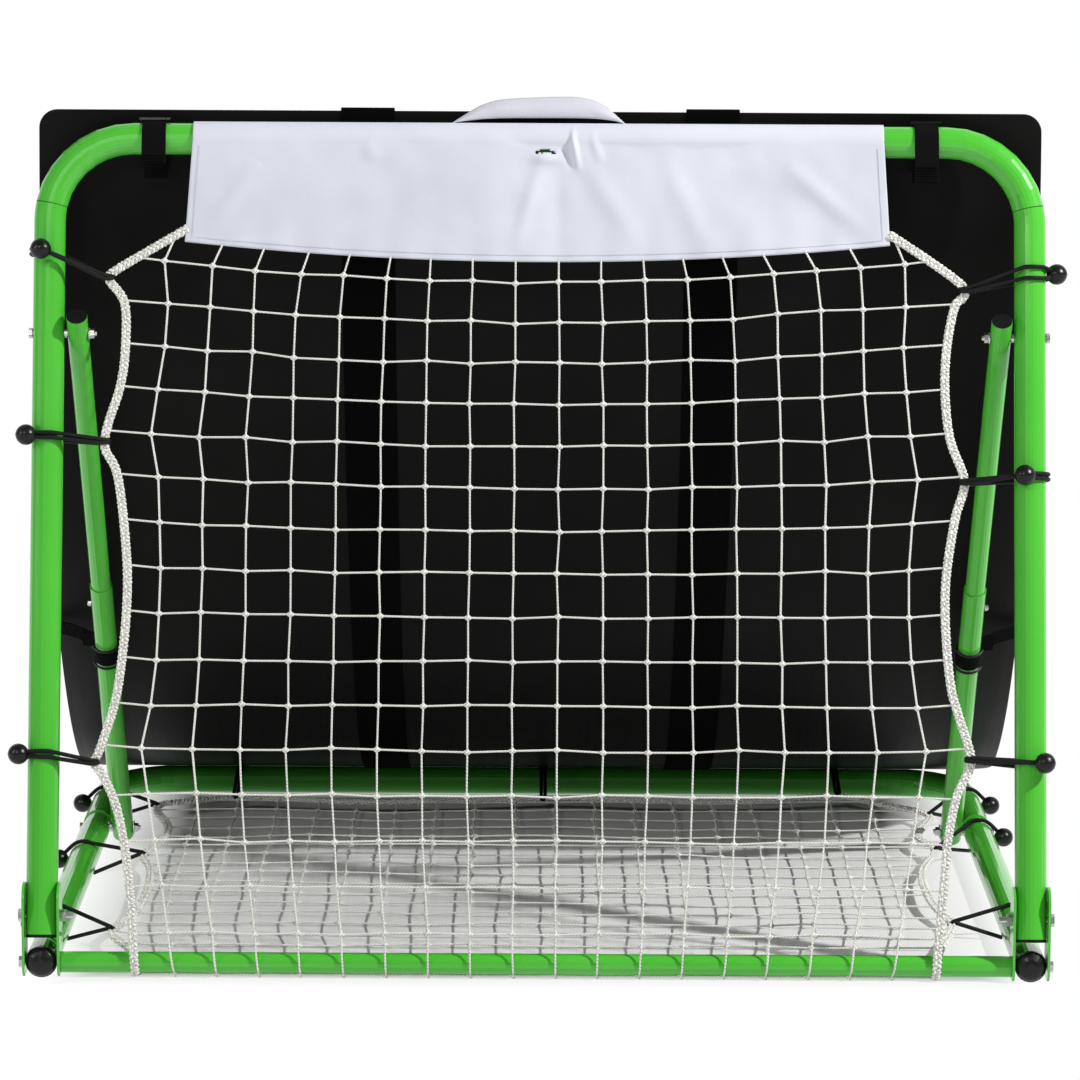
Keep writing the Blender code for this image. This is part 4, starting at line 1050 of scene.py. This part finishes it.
def panel_curve(t):
    """Place and forward normal on the sheet's middle line, from behind the top bar to the rear bar."""
    bar = leg_point(0.0, LEG_LENGTH)
    top = bar + Y_AXIS * SHEET_TOP_BEHIND + Z_AXIS * SHEET_TOP_ABOVE
    low = Vector((0.0, REAR_Y - 0.002, TUBE_Z + SHEET_ON_BAR))
    depth, drop = low.y - top.y, top.z - low.z
    first, second = [top + Vector((0.0, back * depth, -down * drop)) for back, down in SAG]
    s = 1 - t
    place = top * s ** 3 + first * 3 * t * s * s + second * 3 * t * t * s + low * t ** 3
    slope = ((first - top) * s * s + (second - first) * 2 * t * s + (low - second) * t * t).normalized()
    return place, Vector((0.0, slope.z, -slope.y))


def panel_stations(steps):
    """(place, forward normal, run from the top edge) down the sheet, and its whole length."""
    stations = []
    run = 0.0
    for i in range(steps + 1):
        place, normal = panel_curve(i / steps)
        if stations:
            run += (place - stations[-1][0]).length
        stations.append((place, normal, run))
    return stations, run


def corner_cut(run, radius):
    if run >= radius:
        return 0.0
    return radius - math.sqrt(max(0.0, radius * radius - (radius - run) ** 2))


def panel_ripple(x, run):
    """Slack in the sheet: shallow waves that grow away from the top bar."""
    calm = min(1.0, run / 0.30) * min(1.0, (1.36 - run) / 0.20)
    return 0.0028 * ripple((x * 1.6, run * 0.9, 0.0), 2.6, 8.0) * max(0.0, calm)


def panel_runs(total):
    """Places down the sheet, closer together in its round corners."""
    runs = {0.0, total}
    for i in range(CORNER_STEPS + 1):
        turn = 1 - math.cos(math.pi / 2 * i / CORNER_STEPS)
        runs.add(PANEL_TOP_CORNER * turn)
        runs.add(total - PANEL_LOW_CORNER * turn)
    even = [total * i / PANEL_ROWS for i in range(1, PANEL_ROWS)]
    runs.update(run for run in even if PANEL_TOP_CORNER < run < total - PANEL_LOW_CORNER)
    return sorted(runs)


def panel_rows(stations, total):
    rows = []
    for run in panel_runs(total):
        place, normal = station_at(stations, run)
        half = PANEL_TOP_HALF + (PANEL_LOW_HALF - PANEL_TOP_HALF) * run / total
        half -= corner_cut(run, PANEL_TOP_CORNER) + corner_cut(total - run, PANEL_LOW_CORNER)
        across = [half * (-1 + 2 * c / PANEL_COLUMNS) for c in range(PANEL_COLUMNS + 1)]
        rows.append([place + X_AXIS * x + normal * panel_ripple(x, run) for x in across])
    return rows


def build_panel(material, strip_material):
    """The return sheet with its two loop strips, blended from the rear bar up to the top bar."""
    stations, total = panel_stations(240)
    panel = surface_grid("return_sheet", panel_rows(stations, total), material, PANEL_THICKNESS)
    bevel = panel.modifiers.new("edge", "BEVEL")
    bevel.width = 0.0008
    bevel.segments = 2
    strips = [build_strip(tag, side, stations, total, strip_material) for tag, side in SIDES]
    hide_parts("rear_panel")
    for piece in [panel] + strips:
        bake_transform(piece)


def station_at(stations, run):
    for (a, na, low), (b, nb, high) in zip(stations, stations[1:]):
        if run <= high + 1e-9:
            share = (run - low) / (high - low)
            return a.lerp(b, share), na.lerp(nb, share).normalized()
    return stations[-1][0], stations[-1][1]


def build_strip(tag, side, stations, total, material):
    """Wide soft loop strip down the sheet's face, turned over its top edge."""
    strands = Strands()
    lift = PANEL_THICKNESS / 2 + 0.0011
    path = []
    top, normal, _ = stations[0]
    for i in range(8):
        angle = math.pi * (1 - i / 7)
        path.append(top + normal * lift * math.cos(angle) + Z_AXIS * (0.0006 + lift * math.sin(angle)))
    path.insert(0, top - normal * lift - Z_AXIS * 0.030)
    for i in range(1, STRIP_STEPS):
        run = total * i / STRIP_STEPS
        place, normal = station_at(stations, run)
        path.append(place + normal * (lift + panel_ripple(side * STRIP_X, run)))
    path = [p + X_AXIS * side * STRIP_X for p in path]
    strands.ribbon(path, X_AXIS, STRIP_WIDTH, 0.0016)
    strip = strands.build("loop_strip_" + tag, [material])
    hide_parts("panel_strip_" + tag)
    return strip


def build_hang_strap(tag, x, tail, material):
    """Webbing looped over the top bar, its tail hanging in front and its end sewn to the sheet."""
    radius = TUBE_R + 0.0016
    front = -radius - 0.0006
    path = [leg_point(x, LEG_LENGTH - 0.045, radius + 0.0035)]
    path.append(leg_point(x, LEG_LENGTH - 0.015, radius + 0.0010))
    for i in range(15):
        angle = math.pi / 2 - math.pi * i / 14
        path.append(leg_point(x, LEG_LENGTH + radius * math.cos(angle), radius * math.sin(angle)))
    path.append(leg_point(x, LEG_LENGTH - 0.020, front))
    path.append(leg_point(x, (LEG_LENGTH + tail) / 2 - 0.01, front + 0.0015))
    path.append(leg_point(x, tail, front + 0.0005))
    strands = Strands()
    strands.ribbon(path, X_AXIS, 0.029, 0.0022)
    for step in range(5):
        bar_up = LEG_LENGTH - 0.022 - step * 0.0035 - (LEG_LENGTH - 0.030 - tail) * 0.55
        stitches = [leg_point(x + end, bar_up, front - 0.0002) for end in (-0.012, 0.012)]
        strands.ribbon(stitches, UP_LEG, 0.0012, 0.0026)
    strap = strands.build("bar_strap_" + tag, [material])
    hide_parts("hang_strap_" + tag)
    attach(strap, "net_frame")


def build_side_strap(tag, side, material, buckle_material):
    """Webbing round a strut that runs outwards to the sheet's side edge."""
    strands = Strands()
    radius = STRUT_SLEEVE_R + 0.0016
    down = 0.575

    def polar(angle, size):
        return strut_point(side * (STRUT_X + size * math.cos(angle)), down, size * math.sin(angle))

    path = [strut_point(side * 0.620, down - 0.004, 0.038), strut_point(side * 0.596, down - 0.003, 0.030)]
    for i in range(19):
        path.append(polar(math.radians(62 - 328 * i / 18), radius))
    path.append(strut_point(side * 0.588, down + 0.002, 0.022))
    strands.ribbon(path, DOWN_STRUT, 0.025, 0.0019)
    for row in (-1, 1):
        slide = DOWN_STRUT * row * 0.016
        loop = [polar(math.radians(200 + 20 * i), radius + 0.0018) + slide for i in range(8)]
        strands.strand(loop, 0.0017, 8, slot=1)
    strap = strands.build("strut_strap_" + tag, [material, buckle_material])
    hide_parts("side_strap_" + tag)
    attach(strap, "strut_lower_" + tag)


# ---- caps and joints of the frame ----------------------------------------------------------
def build_strut_cap(tag, side, material):
    """Grained plug whose thin flange covers the rim of a strut's upper end."""
    rim = STRUT_UPPER_R
    steps = ((0.014, 0.0110), (0.0004, 0.0110), (-0.0001, rim - 0.0006), (-0.0007, rim - 0.0003),
             (-0.0012, rim - 0.0007), (-0.0014, rim - 0.0018), (-0.0009, 0.0060), (-0.0009, 0.0004))
    strands = Strands()
    path = [strut_point(side * STRUT_X, down - STRUT_TOP_END) for down, _ in steps]
    strands.strand(path, [radius for _, radius in steps], 28)
    cap = strands.build("strut_plug_" + tag, [material])
    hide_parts("strut_cap_" + tag)
    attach(cap, "strut_upper_" + tag)


def build_painted_seam_shadow_ring(tag, side, material):
    """Dark ring set in the open seam between a leg and the top bow: a painted shadow line standing in for the
    shade inside the gap.
    """
    turn = math.asin((SEAM_UP - LEG_LENGTH + BEND_R) / BEND_R)
    bend = leg_point(side * (HALF - BEND_R), LEG_LENGTH - BEND_R)
    outward = X_AXIS * side * math.cos(turn) + UP_LEG * math.sin(turn)
    along = UP_LEG * math.cos(turn) - X_AXIS * side * math.sin(turn)
    centre = bend + outward * BEND_R - along * 0.0005
    ring = []
    for i in range(40):
        angle = 2 * math.pi * i / 40
        ring.append(centre + (outward * math.cos(angle) + BEHIND_LEG * math.sin(angle)) * (NECK_R + 0.0011))
    strands = Strands()
    strands.strand(ring, 0.00048, 6, closed=True)
    line = strands.build("leg_painted_seam_shadow_" + tag, [material])
    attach(line, "net_frame")


# ---- carried-over CAD pieces ---------------------------------------------------------------
def dress_frame(by_slot):
    """Give every CAD node that stays its finish, with smooth round surfaces and sharp edges."""
    slots = {part["node"]: part["material_slot"] for part in frame["record"]["subparts"]}
    for name, node in frame["nodes"].items():
        finish = by_slot.get(slots[name])
        if finish is None or node.hide_render:
            continue
        node.data.materials.clear()
        node.data.materials.append(finish)
        node.data.shade_smooth()
        node.data.set_sharp_from_angle(angle=math.radians(32))


# ---- floor, light and camera ---------------------------------------------------------------
def add_floor(material):
    reach = 14.0
    mesh = bpy.data.meshes.new("floor")
    corners = [(-reach, -reach, 0.0), (reach, -reach, 0.0), (reach, reach, 0.0), (-reach, reach, 0.0)]
    mesh.from_pydata(corners, [], [(0, 1, 2, 3)])
    mesh.materials.append(material)
    floor = bpy.data.objects.new("floor", mesh)
    floor.location.z = -0.0006
    bpy.context.scene.collection.objects.link(floor)


def add_area_light(name, place, target, size, power):
    light = bpy.data.lights.new(name, "AREA")
    light.shape = "RECTANGLE"
    light.size, light.size_y = size
    light.energy = power
    lamp = bpy.data.objects.new(name, light)
    lamp.location = place
    lamp.rotation_euler = (Vector(target) - Vector(place)).to_track_quat("-Z", "Y").to_euler()
    bpy.context.scene.collection.objects.link(lamp)


def add_sky():
    """Studio surround: bright behind the object, where the backdrop is, and dim towards the camera."""
    world = bpy.data.worlds.new("studio")
    bpy.context.scene.world = world
    world.use_nodes = True
    tree = world.node_tree
    background = tree.nodes["Background"]
    direction = tree.nodes.new("ShaderNodeTexCoord")
    split = tree.nodes.new("ShaderNodeSeparateXYZ")
    ramp = tree.nodes.new("ShaderNodeValToRGB")
    shares = tree.nodes.new("ShaderNodeMapRange")
    shares.inputs["From Min"].default_value = -1.0
    tree.links.new(direction.outputs["Generated"], split.inputs["Vector"])
    tree.links.new(split.outputs["Y"], shares.inputs["Value"])
    tree.links.new(shares.outputs["Result"], ramp.inputs["Fac"])
    tree.links.new(ramp.outputs["Color"], background.inputs["Color"])
    dim, bright = ramp.color_ramp.elements
    dim.position, bright.position = 0.56, 0.94
    dim.color = (0.15, 0.15, 0.155, 1.0)
    bright.color = (1.0, 1.0, 1.0, 1.0)
    background.inputs["Strength"].default_value = 1.0


def add_light():
    add_sky()
    add_area_light("key", (3.3, -1.7, 3.3), (0.0, 0.1, 0.2), (0.16, 0.16), 235)
    add_area_light("front", (-1.4, -4.2, 3.0), (0.0, 0.0, 0.5), (0.5, 0.5), 48)
    add_area_light("strip", (-2.6, -1.6, 1.6), (-0.3, -0.4, 0.6), (0.12, 1.6), 22)
    view = bpy.context.scene.view_settings
    view.view_transform = "Standard"
    view.look = "None"
    view.exposure = 0.0


def add_camera():
    camera = bpy.data.cameras.new("camera")
    camera.sensor_width = 36.0
    camera.lens = 165.97
    camera.clip_end = 60.0
    view = bpy.data.objects.new("camera", camera)
    place = Vector((0.0007, PIVOT.y - 5.7979, 1.4693))
    look = Vector((0.00023, 0.98713, -0.15991))
    turn = look.to_track_quat("-Z", "Y").to_matrix().to_4x4()
    view.matrix_world = Matrix.Translation(place) @ turn @ Matrix.Rotation(math.radians(0.30), 4, "Z")
    bpy.context.scene.collection.objects.link(view)
    bpy.context.scene.camera = view


def main():
    add_camera()
    green = powder_coat()
    plastic = moulded_plastic()
    metal = zinc()
    net_twine = twine()
    cloth = canvas()
    jacket = elastic()
    black_webbing = webbing("black_webbing", (0.0008, 0.0008, 0.0008), (0.0050, 0.0050, 0.0055), 150.0)
    soft_loop = webbing("black_loop_strip", (0.0002, 0.0002, 0.0002), (0.0010, 0.0010, 0.0011), 120.0)
    white_webbing = webbing("white_webbing", (0.43, 0.43, 0.48), (0.64, 0.64, 0.70), 190.0)
    build_leaning_net(net_twine)
    build_ground_net(net_twine)
    build_ties([jacket, plastic])
    build_sleeve(cloth, white_webbing)
    build_handle(white_webbing)
    build_panel(coated_sheet(), soft_loop)
    build_hang_strap("l", -0.465, 0.903, black_webbing)
    build_hang_strap("r", 0.465, 0.885, black_webbing)
    for tag, side in SIDES:
        build_side_strap(tag, side, black_webbing, plastic)
    # Dark green for the rings in the leg seams: painted shadow where the gap would be in shade.
    shadow_green = Surface("painted_seam_shadow_green", (0.004, 0.030, 0.004), 0.7).material
    for tag, side in SIDES:
        build_strut_cap(tag, side, plastic)
        build_painted_seam_shadow_ring(tag, side, shadow_green)
    dress_frame({"green_powder_coat": green, "black_plastic": plastic, "zinc_plate": metal})
    add_floor(floor_material())
    add_light()


main()
